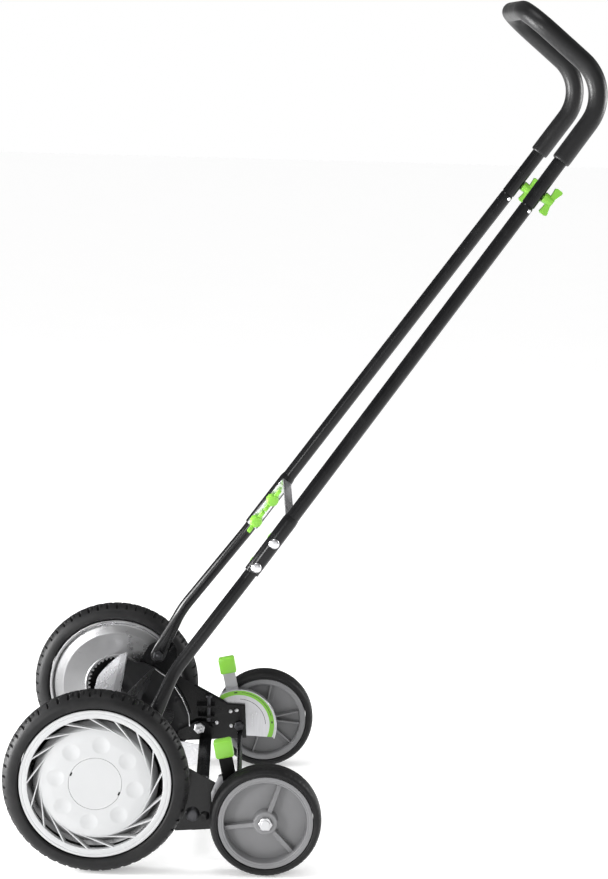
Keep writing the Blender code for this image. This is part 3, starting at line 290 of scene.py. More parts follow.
GREEN = (0.215, 0.530, 0.050)
SILVER = (0.50, 0.505, 0.51)
# Painted shade: the levers' outer faces are painted near black, as shade and dark reflection.
LEVER_PAINTED_SHADE = (0.2200, 0.2212)
# Painted shade: the wheels' outer sides, seen through the hub caps' openings, are painted near black as
# shade.
WHEEL_PAINTED_SHADE = (0.2405, 0.3)
ROUND = (1.0, 1.0, 1.0)
MATERIALS = {
    "black_paint": painted("black enamel", (0.0050, 0.0050, 0.0055), 0.22),
    "dark_paint": painted("dark satin enamel", (0.016, 0.016, 0.017), 0.30),
    "reel_steel": painted("reel enamel", (0.020, 0.020, 0.021), 0.26),
    # Near black, for painted shade in slots.
    "hole": painted("painted slot shade", (0.004, 0.004, 0.004), 0.6),
    "zinc_plate": metal("bright zinc plate", (0.80, 0.80, 0.82), 0.24, scale=150.0, stains=0.12,
                        contrast=0.06),
    "lever_steel": metal("lever steel", (0.56, 0.56, 0.57), 0.30, scale=150.0, stains=0.12,
                         painted_shade_span=LEVER_PAINTED_SHADE, contrast=0.06),
    "bare_steel": metal("bare steel", (0.50, 0.50, 0.51), 0.28, scale=500.0),
    "cast_wheel": metal("grey wheel metal", (0.31, 0.31, 0.315), 0.25, stretch=ROUND, scale=60.0,
                        stain=(0.24, 0.24, 0.24), stains=0.30, painted_shade_span=WHEEL_PAINTED_SHADE, turning=0.7,
                        contrast=0.08),
    "bearing_brass": metal("oiled bronze", (0.52, 0.38, 0.18), 0.34, stretch=ROUND),
    "black_oxide": metal("black oxide steel", (0.075, 0.075, 0.08), 0.30, stain=(0.04, 0.04, 0.04)),
    "quadrant": scale_plate("quadrant plate", (0.62, 0.62, 0.64), GREEN),
    "white_plastic": plastic("silver-white plastic", SILVER, 0.34, spread=0.03),
    "hubcap_plastic": hubcap_plastic("hub cap plastic", SILVER, 0.34),
    "grey_plastic": plastic("grey plastic", (0.185, 0.185, 0.19), 0.33, grain=900.0, depth=0.12, spread=0.16),
    "green_plastic": plastic("lime plastic", GREEN, 0.34, spread=0.10, subsurface=0.06),
    "tyre_rubber": rubber("tyre rubber", (0.0085, 0.0085, 0.009)),
    "foam": foam("foam grip", (0.0075, 0.0075, 0.008)),
}


# ---------------------------------------------------------------- pieces

def piece(name, bm, material, body, replaces=(), smooth=35.0, bevel=0.0, steps=2):
    """A shown piece, which rides on a body of the frame and may stand for nodes of it."""
    bmesh.ops.recalc_face_normals(bm, faces=bm.faces)
    mesh = bpy.data.meshes.new(name)
    bm.to_mesh(mesh)
    bm.free()
    mesh.shade_smooth()
    mesh.set_sharp_from_angle(angle=math.radians(smooth))
    mesh.materials.append(MATERIALS[material])
    item = bpy.data.objects.new(name, mesh)
    bpy.context.collection.objects.link(item)
    if bevel:
        modifier = item.modifiers.new("edges", "BEVEL")
        modifier.width = bevel
        modifier.segments = steps
        modifier.limit_method = "ANGLE"
        modifier.angle_limit = math.radians(32)
        modifier.harden_normals = True
    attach(item, body)
    if replaces:
        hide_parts(*replaces)
    return item


def combine(*parts):
    """One mesh out of several."""
    whole = bmesh.new()
    for part in parts:
        mesh = bpy.data.meshes.new("part")
        part.to_mesh(mesh)
        part.free()
        whole.from_mesh(mesh)
        bpy.data.meshes.remove(mesh)
    return whole


def refined(node, bevel, material=None, steps=2, smooth=35.0):
    """A copy of a node's own solid with its edges rounded."""
    bm = bmesh.new()
    bm.from_mesh(NODES[node].data)
    bmesh.ops.remove_doubles(bm, verts=bm.verts, dist=LEAST_RADIUS)
    bmesh.ops.dissolve_limit(bm, angle_limit=math.radians(1.5), verts=bm.verts, edges=bm.edges)
    return piece(node + "_finish", bm, material or SLOT_OF[node], BODY_OF[node], [node], smooth, bevel, steps)


def shell(rings, closed_along=True, caps=False):
    """A surface through rings of points, whose last ring joins the first unless it is left open or capped."""
    bm = bmesh.new()
    verts = [[bm.verts.new(point) for point in ring] for ring in rings]
    count = len(rings[0])
    pairs = list(zip(verts, verts[1:])) + ([(verts[-1], verts[0])] if closed_along else [])
    for lower, upper in pairs:
        for k in range(count):
            m = (k + 1) % count
            bm.faces.new((lower[k], lower[m], upper[m], upper[k]))
    if caps:
        bm.faces.new(verts[0])
        bm.faces.new(verts[-1])
    return bm


def turned(profile, spot, side, segments=96, relief=None):
    """A turned shape on an axis across the mower: its profile lists (radius, outward place) points."""
    rings = []
    for k in range(segments):
        angle = 2 * math.pi * k / segments
        ring = []
        for radius, outward in profile:
            if relief:
                radius, outward = relief(radius, outward, angle)
            radius = max(radius, LEAST_RADIUS)
            behind, up = spot[0] + radius * math.cos(angle), spot[1] + radius * math.sin(angle)
            ring.append(place(behind, side * outward, up))
        rings.append(ring)
    return shell(rings)


def rounded(profile, radius=0.0005, steps=2):
    """A closed profile with each corner replaced by a small arc."""
    points = []
    count = len(profile)
    for k in range(count):
        corner = Vector(profile[k])
        before = Vector(profile[k - 1]) - corner
        after = Vector(profile[(k + 1) % count]) - corner
        if corner.x < 1e-6 or before.length < 1e-6 or after.length < 1e-6:
            points.append(tuple(corner))
            continue
        reach = min(radius, before.length * 0.4, after.length * 0.4)
        start = corner + before.normalized() * reach
        end = corner + after.normalized() * reach
        for n in range(steps + 1):
            share = n / steps
            points.append(tuple(start.lerp(corner, share).lerp(corner.lerp(end, share), share)))
    return points


def aimed(origin, direction, heading=(0, 0, 1)):
    """A placing matrix: +Z along a direction, and +X as near to a heading as that allows."""
    z_axis = Vector(direction).normalized()
    x_axis = Vector(heading)
    x_axis = x_axis - z_axis * x_axis.dot(z_axis)
    if x_axis.length < 1e-6:
        x_axis = z_axis.orthogonal()
    x_axis.normalize()
    turn = Matrix((x_axis, z_axis.cross(x_axis), z_axis)).transposed().to_4x4()
    return Matrix.Translation(origin) @ turn


def spun(profile, matrix, segments=32):
    """A turned solid along +Z, then placed by a matrix."""
    rings = []
    for k in range(segments):
        angle = 2 * math.pi * k / segments
        x, y = math.cos(angle), math.sin(angle)
        rings.append([matrix @ Vector((max(r, LEAST_RADIUS) * x, max(r, LEAST_RADIUS) * y, height))
                      for r, height in profile])
    return shell(rings)


def prism(outline, low, high, matrix):
    """A flat outline extruded along its own third axis, then placed by a matrix."""
    bm = bmesh.new()
    faces = [[bm.verts.new((x, y, level)) for x, y in outline] for level in (low, high)]
    for face in faces:
        bm.faces.new(face)
    for k in range(len(outline)):
        m = (k + 1) % len(outline)
        bm.faces.new((faces[0][k], faces[0][m], faces[1][m], faces[1][k]))
    bm.transform(matrix)
    return bm


def wheel_frame(spot, side):
    """Local X runs rearward, local Y up, and local Z outward on one side of the mower."""
    turn = Matrix(((-1, 0, 0), (0, 0, side), (0, 1, 0))).to_4x4()
    return Matrix.Translation(place(spot[0], 0.0, spot[1])) @ turn


def hexagon(radius, low, high, matrix, turn=0.0):
    """A nut or head with its six corners at a radius, and both its faces turned down to a cone."""
    chamfer = 0.0006
    angles = [turn + math.pi * k / 3 for k in range(6)]
    rings = []
    for level, share in ((low, 0.90), (low + chamfer, 1.0), (high - chamfer, 1.0), (high, 0.88)):
        reach = radius * share
        rings.append([matrix @ Vector((reach * math.cos(a), reach * math.sin(a), level)) for a in angles])
    return shell(rings, closed_along=False, caps=True)


# ---------------------------------------------------------------- driven wheels

def tread(radius, outward, angle):
    """Long and short sipes over both shoulders, and broken grooves round the crown."""
    off = abs(outward - TYRE_MIDDLE)
    pitch = angle * SIPES / (2 * math.pi)
    phase = (pitch + (0.5 if outward > TYRE_MIDDLE else 0.0)) % 1.0
    if radius > 0.1215 and off > 0.0060:
        if phase < 0.16:
            radius -= 0.0030
        elif 0.5 < phase < 0.6 and radius > 0.1240:
            radius -= 0.0012
    if radius > 0.1262 and 0.0015 < off < 0.0045 and abs((pitch % 1.0) - 0.5) < 0.25:
        radius -= 0.0010
    return radius, outward


def tyre_profile():
    """A round-shouldered section, from the inboard bead over the crown to the outboard bead."""
    width, height, foot = 0.0204, 0.0170, 0.110
    points = [(0.1043, 0.2600), (0.1043, 0.2400), (0.1043, 0.2336), (0.1050, 0.2316)]
    for k in range(33):
        angle = math.radians(-100 + 200 * k / 32)
        flat = 1.0 - 0.10 * math.cos(angle) ** 6
        points.append((foot + height * math.cos(angle), TYRE_MIDDLE + width * math.sin(angle) * flat))
    return points + [(0.1050, 0.2684), (0.1043, 0.2664)]


def wheel_profile():
    """The pressed wheel: hub, gear recess, flat, cone, bright lip and rim."""
    points = [(0.0084, 0.2502), (0.0465, 0.2502), (0.0465, 0.2352), (0.0446, 0.2352), (0.0443, 0.2326),
              (0.0460, 0.2318), (0.0478, 0.2320), (0.0486, 0.2330), (0.0820, 0.2330),
              (0.0845, 0.2338), (0.0945, 0.2374), (0.0965, 0.2372), (0.0985, 0.2314), (0.1005, 0.2312),
              (0.1035, 0.2318), (0.1035, 0.2670), (0.1000, 0.2670), (0.1000, 0.2420), (0.0825, 0.2366),
              (0.0503, 0.2366), (0.0503, 0.2530), (0.0150, 0.2530), (0.0150, 0.2570), (0.0084, 0.2570)]
    return rounded(points, 0.0009, 3)


def ring_teeth(side):
    """The ring of internal teeth in the wheel's recess, one gap in line with the pinion."""
    phase = math.atan2(REEL[1] - AXLE[1], REEL[0] - AXLE[0])
    tip, root, back = 0.0410, 0.0442, 0.0468
    half_tip, half_root = 0.0605, 0.0290
    rings = []
    for k in range(RING_TEETH):
        middle = phase + 2 * math.pi * k / RING_TEETH
        for radius, turn in ((tip, -half_tip), (root, -half_root), (root, half_root), (tip, half_tip)):
            x, y = math.cos(middle + turn), math.sin(middle + turn)
            section = ((radius, 0.2362), (back, 0.2362), (back, 0.2500), (radius, 0.2475))
            rings.append([place(AXLE[0] + r * x, side * out, AXLE[1] + r * y) for r, out in section])
    return shell(rings)


def dimpled(radius, outward, angle):
    """Eight shallow round dimples, and a fine line round the middle disc."""
    if outward < 0.2655 and radius < 0.07:
        return radius, outward
    circle, width, depth = 0.0540, 0.0118, 0.0017
    for k in range(8):
        spot = math.radians(82 - 45 * k)
        gap = math.hypot(radius * math.cos(angle) - circle * math.cos(spot),
                         radius * math.sin(angle) - circle * math.sin(spot))
        if gap < width:
            outward -= depth * (1 - (gap / width) ** 2)
    if abs(radius - 0.0360) < 0.0002:
        outward -= 0.0012
    return radius, outward


def hubcap_cover(side):
    """The cap's domed disc with a ramp round it, and the ring at its edge."""
    levels = [0.0, 0.006, 0.012, 0.018, 0.024, 0.030, 0.0345, 0.0357, 0.0360, 0.0363, 0.0375]
    levels += [0.0390 + 0.0012 * k for k in range(28)]
    dome = [(r, 0.2668 - 0.0026 * max(0.0, (r - 0.058) / 0.0175) ** 1.5) for r in levels]
    ramp = [(0.0752, 0.2641), (0.0757, 0.2634), (0.0785, 0.2604), (0.0815, 0.2568), (0.0848, 0.2528)]
    back = [(0.0848, 0.2510), (0.0755, 0.2600), (0.040, 0.2625), (0.0, 0.2640)]
    edge = [(0.0915, 0.2600), (0.0995, 0.2600), (0.0995, 0.2673), (0.1030, 0.2673), (0.1022, 0.2690),
            (0.0990, 0.2690), (0.0984, 0.2684), (0.0978, 0.2690), (0.0915, 0.2690)]
    return combine(turned(dome + ramp + back, AXLE, side, 240, dimpled),
                   turned(rounded(edge, 0.0007, 3), AXLE, side, 204))


def hubcap_vane(outer, side):
    """A long thin ridge that sweeps from the disc's rim to the ring, which it meets at the outer angle."""
    inner = outer - math.radians(39)
    root = Vector((0.0743 * math.cos(inner), 0.0743 * math.sin(inner)))
    tip = Vector((0.0926 * math.cos(outer), 0.0926 * math.sin(outer)))
    along = (tip - root).normalized()
    wide = Vector((-along.y, along.x))
    low = 0.2560
    stations = ((root, 0.0005, 0.2646), (root.lerp(tip, 0.35), 0.0007, 0.2655), (tip, 0.0010, 0.2682))
    rings = []
    for spot, half, top in stations:
        corners = ((spot + wide * half, low), (spot + wide * half, top),
                   (spot - wide * half, top), (spot - wide * half, low))
        rings.append([place(flat.x, side * out, AXLE[1] + flat.y) for flat, out in corners])
    return shell(rings, closed_along=False, caps=True)


def hubcap(side, prefix):
    body = prefix + "_driven_wheel"
    piece(prefix + "_hubcap_finish", hubcap_cover(side), "hubcap_plastic", body, [prefix + "_hubcap"], 30)
    vanes = [hubcap_vane(math.radians(96) + 2 * math.pi * k / VANES, side) for k in range(VANES)]
    spokes = piece(prefix + "_hubcap_vanes", combine(*vanes), "white_plastic", body, bevel=0.0003)
    # Painted shade: two small dark marks flush on the disc stand for the shade in two slots.
    outline = [(-0.0012, -0.0026), (0.0012, -0.0026), (0.0012, 0.0026), (-0.0012, 0.0026)]
    notches = []
    for degrees in (158, -22):
        turn = Matrix.Rotation(math.radians(degrees), 4, "Z") @ Matrix.Translation((0.0350, 0, 0))
        notches.append(prism(outline, 0.2660, 0.26690, wheel_frame(AXLE, side) @ turn))
    piece(prefix + "_hubcap_notch_shades", combine(*notches), "hole", body)


def main_axle(side):
    """A stub held to its plate between a head and a collar, with a nut near its end."""
    axis = wheel_frame(AXLE, side)
    stub = [(0, 0.2062), (0.0105, 0.2062), (0.0105, 0.2092), (0.0080, 0.2092), (0.0080, 0.2123),
            (0.0130, 0.2123), (0.0130, 0.2180), (0.0080, 0.2180), (0.0080, 0.2560), (0.0060, 0.2575),
            (0.0060, 0.2628), (0, 0.2628)]
    return combine(spun(rounded(stub, 0.0006), axis, 40), hexagon(0.0105, 0.2577, 0.2620, axis))


def driven_wheels():
    for side, prefix in SIDES:
        body = prefix + "_driven_wheel"
        tyre = turned(tyre_profile(), AXLE, side, SIPES * 10, tread)
        piece(prefix + "_tyre_finish", tyre, "tyre_rubber", body, [prefix + "_tyre"], 28)
        wheel = combine(turned(wheel_profile(), AXLE, side, 144), ring_teeth(side))
        piece(prefix + "_wheel_finish", wheel, "cast_wheel", body, [prefix + "_wheel"], 30)
        hubcap(side, prefix)
        refined(prefix + "_pinion", 0.00015, smooth=25)
        piece(prefix + "_main_axle_finish", main_axle(side), "zinc_plate", "chassis", [prefix + "_main_axle"])


# ---------------------------------------------------------------- trailing wheels and levers

def rear_tread(radius, outward, angle):
    """Shallow notches along both edges of the crown."""
    off = abs(outward - REAR_MIDDLE)
    if radius > 0.0735 and off > 0.0125 and (angle * REAR_NOTCHES / (2 * math.pi)) % 1.0 < 0.25:
        radius -= 0.0005
    return radius, outward


def rear_ribs(side):
    """Three spokes outside the wheel's web and seven thin ribs inside it."""
    axis = wheel_frame(REAR_AXLE, side)
    lay = Matrix(((1, 0, 0), (0, 0, 1), (0, 1, 0))).to_4x4()
    spoke = [(0.0148, 0.2470), (0.0575, 0.2440), (0.0575, 0.2575), (0.0148, 0.2655)]
    rib = [(0.0145, 0.2485), (0.0565, 0.2445), (0.0565, 0.2375), (0.0145, 0.2350)]
    turns = [(70.5 + 120 * k, spoke, 0.0029) for k in range(3)]
    turns += [(degrees, rib, 0.0012) for degrees in (80, 133, 200, 253, 318, 353, 13)]
    return combine(*(prism(flank, -half, half, axis @ Matrix.Rotation(math.radians(degrees), 4, "Z") @ lay)
                     for degrees, flank, half in turns))


def rear_wheels():
    half = [(0.0653, 0.2335), (0.0657, 0.2318), (0.0668, 0.2309), (0.0682, 0.2312), (0.0688, 0.2306),
            (0.0705, 0.2306), (0.0718, 0.2312), (0.0731, 0.2323), (0.0742, 0.2338), (0.0750, 0.2357),
            (0.0755, 0.2378), (0.0758, 0.2398), (0.0760, 0.2420), (0.07615, 0.2436), (0.0754, 0.2442),
            (0.0754, 0.2450), (0.0762, 0.2457), (0.0762, 0.2480)]
    bead = [(0.0653, 0.2560), (0.0653, 0.2430)]
    profile = half + [(radius, 2 * REAR_MIDDLE - outward) for radius, outward in reversed(half)] + bead
    web = [(0.0063, 0.2310), (0.0150, 0.2310), (0.0150, 0.2480), (0.0555, 0.2440), (0.0560, 0.2332),
           (0.0580, 0.2320), (0.0645, 0.2320), (0.0645, 0.2670), (0.0600, 0.2670), (0.0590, 0.2664),
           (0.0580, 0.2670), (0.0566, 0.2664), (0.0560, 0.2475), (0.0165, 0.2515), (0.0160, 0.2672),
           (0.0145, 0.2680), (0.0063, 0.2680)]
    for side, prefix in SIDES:
        body = prefix + "_trailing_wheel"
        tyre = turned(profile, REAR_AXLE, side, 384, rear_tread)
        piece(prefix + "_rear_tyre_finish", tyre, "tyre_rubber", body, [prefix + "_rear_tyre"], 28)
        wheel = turned(rounded(web, 0.0008, 3), REAR_AXLE, side, 120)
        piece(prefix + "_rear_wheel_finish", wheel, "grey_plastic", body, [prefix + "_rear_wheel"], 32)
        piece(prefix + "_rear_wheel_ribs", rear_ribs(side), "grey_plastic", body, bevel=0.0005)


def levers():
    for _, prefix in SIDES:
        refined(prefix + "_height_lever", 0.0005, "lever_steel")
        refined(prefix + "_lever_knob", 0.0008, steps=3)
        refined(prefix + "_quadrant", 0.0005, "quadrant")


# ---------------------------------------------------------------- frame and reel

def plates():
    for _, prefix in SIDES:
        refined(prefix + "_side_plate", 0.0004)
        refined(prefix + "_rear_arm", 0.0004)
        refined(prefix + "_adjusting_screw", 0.0004, "black_oxide")
        refined(prefix + "_reel_bearing", 0.0003)
    for node in ("top_tie_bar", "cutter_bar", "rear_tie_bar", "bed_knife", "rear_tie_rod"):
        refined(node, 0.0004)


def arm_details():
    """Rivet heads inside each arm, a thin rolled bead along each side plate's rear edge in bright zinc as a
    painted highlight, and the right end's gusset.
    """
    rivets = ((0.1880, 0.0960), (0.1785, 0.0940), (0.1800, 0.0710), (0.1575, 0.0755))
    head = [(0.0030, 0.2125), (0.0030, 0.2119), (0.0024, 0.2112), (0.0012, 0.2109), (0, 0.2109), (0, 0.2125)]
    edge = [(0.061, 0.1620), (0.080, 0.1485), (0.0935, 0.1310), (0.103, 0.1160), (0.1095, 0.103),
            (0.1145, 0.089), (0.1155, 0.072)]
    for side, prefix in SIDES:
        heads = [spun(head, wheel_frame(spot, side), 20) for spot in rivets]
        piece(prefix + "_arm_rivets", combine(*heads), "zinc_plate", "chassis")
        # Painted highlight: the black plate's rear edge gets a bright zinc bead.
        path = [place(behind, side * 0.2019, up) for behind, up in edge]
        strip = swept(path, [(0.0007, 0.0007)] * len(path), 12)
        piece(prefix + "_plate_edge_highlight", strip, "zinc_plate", "chassis")
    outline = [(0.000, 0.000), (0.032, -0.006), (0.028, -0.038), (0.004, -0.038)]
    gusset = prism(outline, 0.1965, 0.1980, wheel_frame((0.100, 0.050), -1))
    piece("right_cutter_bar_gusset", gusset, "zinc_plate", "chassis", bevel=0.0004)


def pivot_bolt(name, side, spot, shank, span, head, nut, nut_finish):
    """A domed head outboard, and inboard a hexagon nut with the bolt's tip standing proud of it."""
    axis = wheel_frame(spot, side)
    start, end = span
    radius, height = head
    nut_radius, nut_height = nut
    inner_end = start - nut_height
    dome = [(shank, end), (radius, end), (radius, end + height * 0.35), (radius * 0.86, end + height * 0.72),
            (radius * 0.5, end + height * 0.94), (0, end + height), (0, inner_end + 0.0004),
            (shank, inner_end + 0.0004)]
    piece(name + "_finish", spun(dome, axis, 36), "black_oxide", "chassis", [name])
    tip = [(0, start), (shank * 0.8, start), (shank * 0.8, inner_end - 0.0004),
           (shank * 0.5, inner_end - 0.0010), (0, inner_end - 0.0012)]
    nut_shape = combine(hexagon(nut_radius, inner_end, start, axis, 0.3), spun(tip, axis, 24))
    piece(name + "_nut", nut_shape, nut_finish, "chassis")


def frame_bolts():
    """Each bolt: its shank's radius and span, then the radius and height of its head and of its nut."""
    for side, prefix in SIDES:
        pivot_bolt(prefix + "_cutter_pivot_bolt", side, CUTTER_PIVOT, 0.0050, (0.2022, 0.2151),
                   (0.0100, 0.0040), (0.0088, 0.0060), "zinc_plate")
        pivot_bolt(prefix + "_lever_pivot_bolt", side, LEVER_PIVOT, 0.0050, (0.2120, 0.2211),
                   (0.0080, 0.0036), (0.0075, 0.0050), "black_oxide")
        pivot_bolt(prefix + "_handle_pivot_bolt", side, HANDLE_PIVOT, 0.0040, (0.2067, 0.2151),
                   (0.0085, 0.0050), (0.0080, 0.0036), "black_oxide")


def blade(first, stations=60):
    """A twisted strip with a bevelled edge; first is its angle at the reel's middle."""
    thickness = 0.0024
    section = ((0.0460, -0.5), (0.0655, -0.5), (0.06595, -0.2), (0.0656, 0.5), (0.0460, 0.5))
    rings = []
    for k in range(stations + 1):
        share = 2 * k / stations - 1
        angle = first + BLADE_TWIST * share
        x, y = math.cos(angle), math.sin(angle)
        rings.append([place(REEL[0] + radius * x - thickness * offset * y, REEL_HALF * share,
                            REEL[1] + radius * y + thickness * offset * x) for radius, offset in section])
    return shell(rings, closed_along=False, caps=True)


def spider(middle, starts):
    """A five-armed disc across the reel that holds the blades."""
    arm_shape = ((0.017, -0.50), (0.024, -0.25), (0.0500, -0.12), (0.0500, 0.12), (0.024, 0.25),
                 (0.017, 0.50))
    outline = []
    for first in starts:
        arm = first + BLADE_TWIST * middle / REEL_HALF
        outline += [(radius * math.cos(arm + spread), radius * math.sin(arm + spread))
                    for radius, spread in arm_shape]
    return prism(outline, middle - 0.0015, middle + 0.0015, wheel_frame(REEL, 1))


def reel():
    starts = [BLADE_START + 2 * math.pi * n / BLADES for n in range(BLADES)]
    blades = combine(*(blade(first) for first in starts))
    piece("reel_blades_finish", blades, "reel_steel", "reel", ["reel_cylinder"], 30)
    spiders = combine(*(spider(middle, starts) for middle in (-0.186, -0.064, 0.064, 0.186)))
    piece("reel_spiders_finish", spiders, "reel_steel", "reel", bevel=0.0003)
    refined("reel_shaft", 0.0002, smooth=40)
    for _, prefix in SIDES:
        refined(prefix + "_pawl", 0.0003)


# ---------------------------------------------------------------- handle

def tube_point(point, side):
    return place(point[0], side * point[1], point[2])


def heading(side):
    """The direction of a middle tube, from the sleeve up."""
    return (tube_point(UPPER_END, side) - tube_point(SLEEVE_END, side)).normalized()


def along_middle(distance, side):
    """A point on a middle tube's axis, at a distance above its lower end."""
    return tube_point(SLEEVE_END, side) + heading(side) * distance


def rearward(side):
    """Square to a middle tube, behind and above it."""
    run = heading(side)
    return Vector((-run.z, 0, run.x)).normalized()


def smooth_path(corners, radii, step=math.radians(5)):
    """Straight runs joined by round bends."""
    points = [Vector(corners[0])]
    for k, radius in enumerate(radii, start=1):
        corner = Vector(corners[k])
        back = (Vector(corners[k - 1]) - corner).normalized()
        ahead = (Vector(corners[k + 1]) - corner).normalized()
        opening = back.angle(ahead)
        bend = math.pi - opening
        if bend < 1e-3:
            continue
        reach = radius / math.tan(opening / 2)
        centre = corner + (back + ahead).normalized() * (radius / math.sin(opening / 2))
        first = corner + back * reach - centre
        axis = first.cross(corner + ahead * reach - centre).normalized()
        count = max(3, round(bend / step))
        for n in range(count + 1):
            points.append(centre + Matrix.Rotation(bend * n / count, 3, axis) @ first)
    points.append(Vector(corners[-1]))
    return points


def swept(points, sections, segments=36, bore=0.0):
    """A tube through points, its section's half width (across the mower) and half height at each."""
    angles = [2 * math.pi * n / segments for n in range(segments)]
    turns = [(math.cos(a), math.sin(a)) for a in angles]
    side_axis = Vector((0, 1, 0))
    outer, inner = [], []
    for k, point in enumerate(points):
        ahead = (points[min(k + 1, len(points) - 1)] - points[max(k - 1, 0)]).normalized()
        side_axis = (side_axis - ahead * side_axis.dot(ahead)).normalized()
        up_axis = ahead.cross(side_axis)
        wide, tall = sections[k]
        outer.append([point + side_axis * (wide * x) + up_axis * (tall * y) for x, y in turns])
        inner.append([point + side_axis * (bore * x) + up_axis * (bore * y) for x, y in turns])
    if not bore:
        return shell(outer, closed_along=False, caps=True)
    return shell(outer + inner[::-1])


def upper_corners(extra=0.0):
    """The upper tube's corners, from its left end to its right end; extra shortens both ends."""
    corners = []
    for side in (1, -1):
        end = tube_point(UPPER_END, side)
        bend = tube_point(GRIP_BEND, side)
        leg = [end + (bend - end).normalized() * extra, bend, tube_point(CROSS_BAR, side)]
        corners += leg if side > 0 else leg[::-1]
    return corners


def lower_tubes():
    """Each tube is pressed flat round its pivot, bends twice, and ends inside its sleeve."""
    for side, prefix in SIDES:
        pivot = place(HANDLE_PIVOT[0], side * TONGUE, HANDLE_PIVOT[1])
        run = tube_point(LOWER_BEND, side) - pivot
        rise = Vector((run.x, 0, run.z)).normalized()
        neck = pivot + rise * 0.028 - Vector((0, side * 0.0042, 0))
        corners = [neck, tube_point(LOWER_BEND, side), along_middle(-0.012, side), along_middle(0.075, side)]
        path = smooth_path(corners, [0.110, 0.080])
        tongue = [pivot + rise * s for s in (-0.0110, -0.0098, -0.0070, -0.0030, 0.0040, 0.013)]
        flat = [(0.0022, 0.0040), (0.0024, 0.0070), (0.0025, 0.0098), (0.0025, 0.0112), (0.0025, 0.0115),
                (0.0026, 0.0112), (0.0058, 0.0103)]
        sections = flat + [(0.00875, 0.00875)] * (len(path) - 1)
        tube = swept(tongue + path, sections)
        piece(prefix + "_lower_tube_finish", tube, "black_paint", "handle", [prefix + "_lower_tube"], 40)


def middle_tube(side, length):
    """A sleeve with a rolled end, the long tube above it, and the spigot inside the upper tube."""
    profile = [(0, 0.080), (0.0091, 0.080), (0.0091, 0), (0.01085, 0), (0.01085, 0.088), (0.0102, 0.0925),
               (0.0095, 0.095), (0.0095, length - 0.003), (0.0086, length - 0.001), (0.0086, length + 0.042),
               (0, length + 0.042)]
    return spun(rounded(profile, 0.0006), aimed(along_middle(0, side), heading(side), (1, 0, 0)), 40)


def tube_stud(side, length):
    """The spring button near a middle tube's top; both face to the left and a little rearward."""
    facing = (rearward(side) * 0.55 + Vector((0, 0.83, 0))).normalized()
    button = [(0, 0), (0.0028, 0), (0.0026, 0.0007), (0.0015, 0.0011), (0, 0.0012)]
    return spun(button, aimed(along_middle(length - 0.0062, side) + facing * 0.0093, facing), 20)


def upper_tubes():
    for side, prefix in SIDES:
        length = (tube_point(UPPER_END, side) - tube_point(SLEEVE_END, side)).length
        tube = middle_tube(side, length)
        piece(prefix + "_middle_tube_finish", tube, "black_paint", "handle", [prefix + "_middle_tube"], 32)
        piece(prefix + "_tube_stud", tube_stud(side, length), "zinc_plate", "handle")
    path = smooth_path(upper_corners(), GRIP_BENDS)
    tube = swept(path, [(0.0097, 0.0097)] * len(path), bore=0.0090)
    piece("upper_handle_finish", tube, "black_paint", "handle", ["upper_handle"], 40)


def foam_grip():
    """A thick sleeve along the upper tube, with a rounded lip at each end."""
    path = smooth_path(upper_corners(0.0730), GRIP_BENDS)
    ends = []
    for first, second in ((path[0], path[1]), (path[-1], path[-2])):
        run = (second - first).normalized()
        ends.append([first + run * s for s in (0.0, 0.0006, 0.0020, 0.0045)])
    points = ends[0] + path[1:-1] + ends[1][::-1]
    lip = [(0.0118, 0.0118), (0.0124, 0.0124), (0.0129, 0.0129), (0.0130, 0.0130)]
    sections = lip + [(0.0130, 0.0130)] * (len(path) - 2) + lip[::-1]
    sleeve = swept(points, sections, bore=0.0102)
    grip = piece("foam_grip_finish", sleeve, "foam", "handle", ["foam_grip"], 50)


def brace():
    refined("handle_brace", 0.0006, steps=3, smooth=45)


def sleeve_bolt(distance, side):
    """A low domed head on the sleeve's outer side, and its shank through to the wing nut."""
    seat = 0.01155
    inner_end = -0.0215
    profile = [(0.0030, inner_end), (0.0030, seat), (0.0072, seat), (0.0072, seat + 0.0010),
               (0.0066, seat + 0.0024), (0.0050, seat + 0.0034), (0.0028, seat + 0.0039), (0, seat + 0.0040),
               (0, inner_end)]
    return spun(profile, aimed(along_middle(distance, side), (0, side, 0), heading(side)), 36)


def wing_ridges(side):
    """Three raised grip lines on each wing of an upper wing screw."""
    run = (tube_point(GRIP_BEND, side) - tube_point(UPPER_END, side)).normalized()
    back = rearward(side)
    screw = aimed(tube_point(UPPER_END, side) + run * 0.0215 + back * 0.0103, back, run)
    half_width, half_length = 0.0004, 0.0036
    ridges = []
    for x in (-0.0184, -0.0168, -0.0152, 0.0152, 0.0168, 0.0184):
        left, right = x - half_width, x + half_width
        outline = [(left, -half_length), (right, -half_length), (right, half_length), (left, half_length)]
        ridges.append(prism(outline, 0.0165, 0.0184, screw))
    return combine(*ridges)


def fasteners():
    for side, prefix in SIDES:
        for distance, label in zip(SLEEVE_BOLTS, ("lower", "middle")):
            name = f"{prefix}_{label}_bolt"
            piece(name + "_finish", sleeve_bolt(distance, side), "zinc_plate", "handle", [name])
            refined(f"{prefix}_{label}_wing_nut", 0.0009, steps=3, smooth=50)
        refined(f"{prefix}_upper_wing_screw", 0.0009, steps=3, smooth=50)
        body = prefix + "_wing_screw"
        piece(prefix + "_upper_wing_ridges", wing_ridges(side), "green_plastic", body, bevel=0.0002)


# ---------------------------------------------------------------- floor, light and camera

def paper_floor():
    bpy.ops.mesh.primitive_plane_add(size=40)
    floor = bpy.context.object
    floor.name = "floor"
    sheet = Nodes("paper floor")
    sheet.colour(sheet.blend(sheet.noise(3.0), (0.90, 0.90, 0.90), (0.93, 0.93, 0.93)))
    sheet.set(Roughness=0.9, Emission_Color=(1.0, 1.0, 1.0, 1.0), Emission_Strength=0.26)
    floor.data.materials.append(sheet.material)


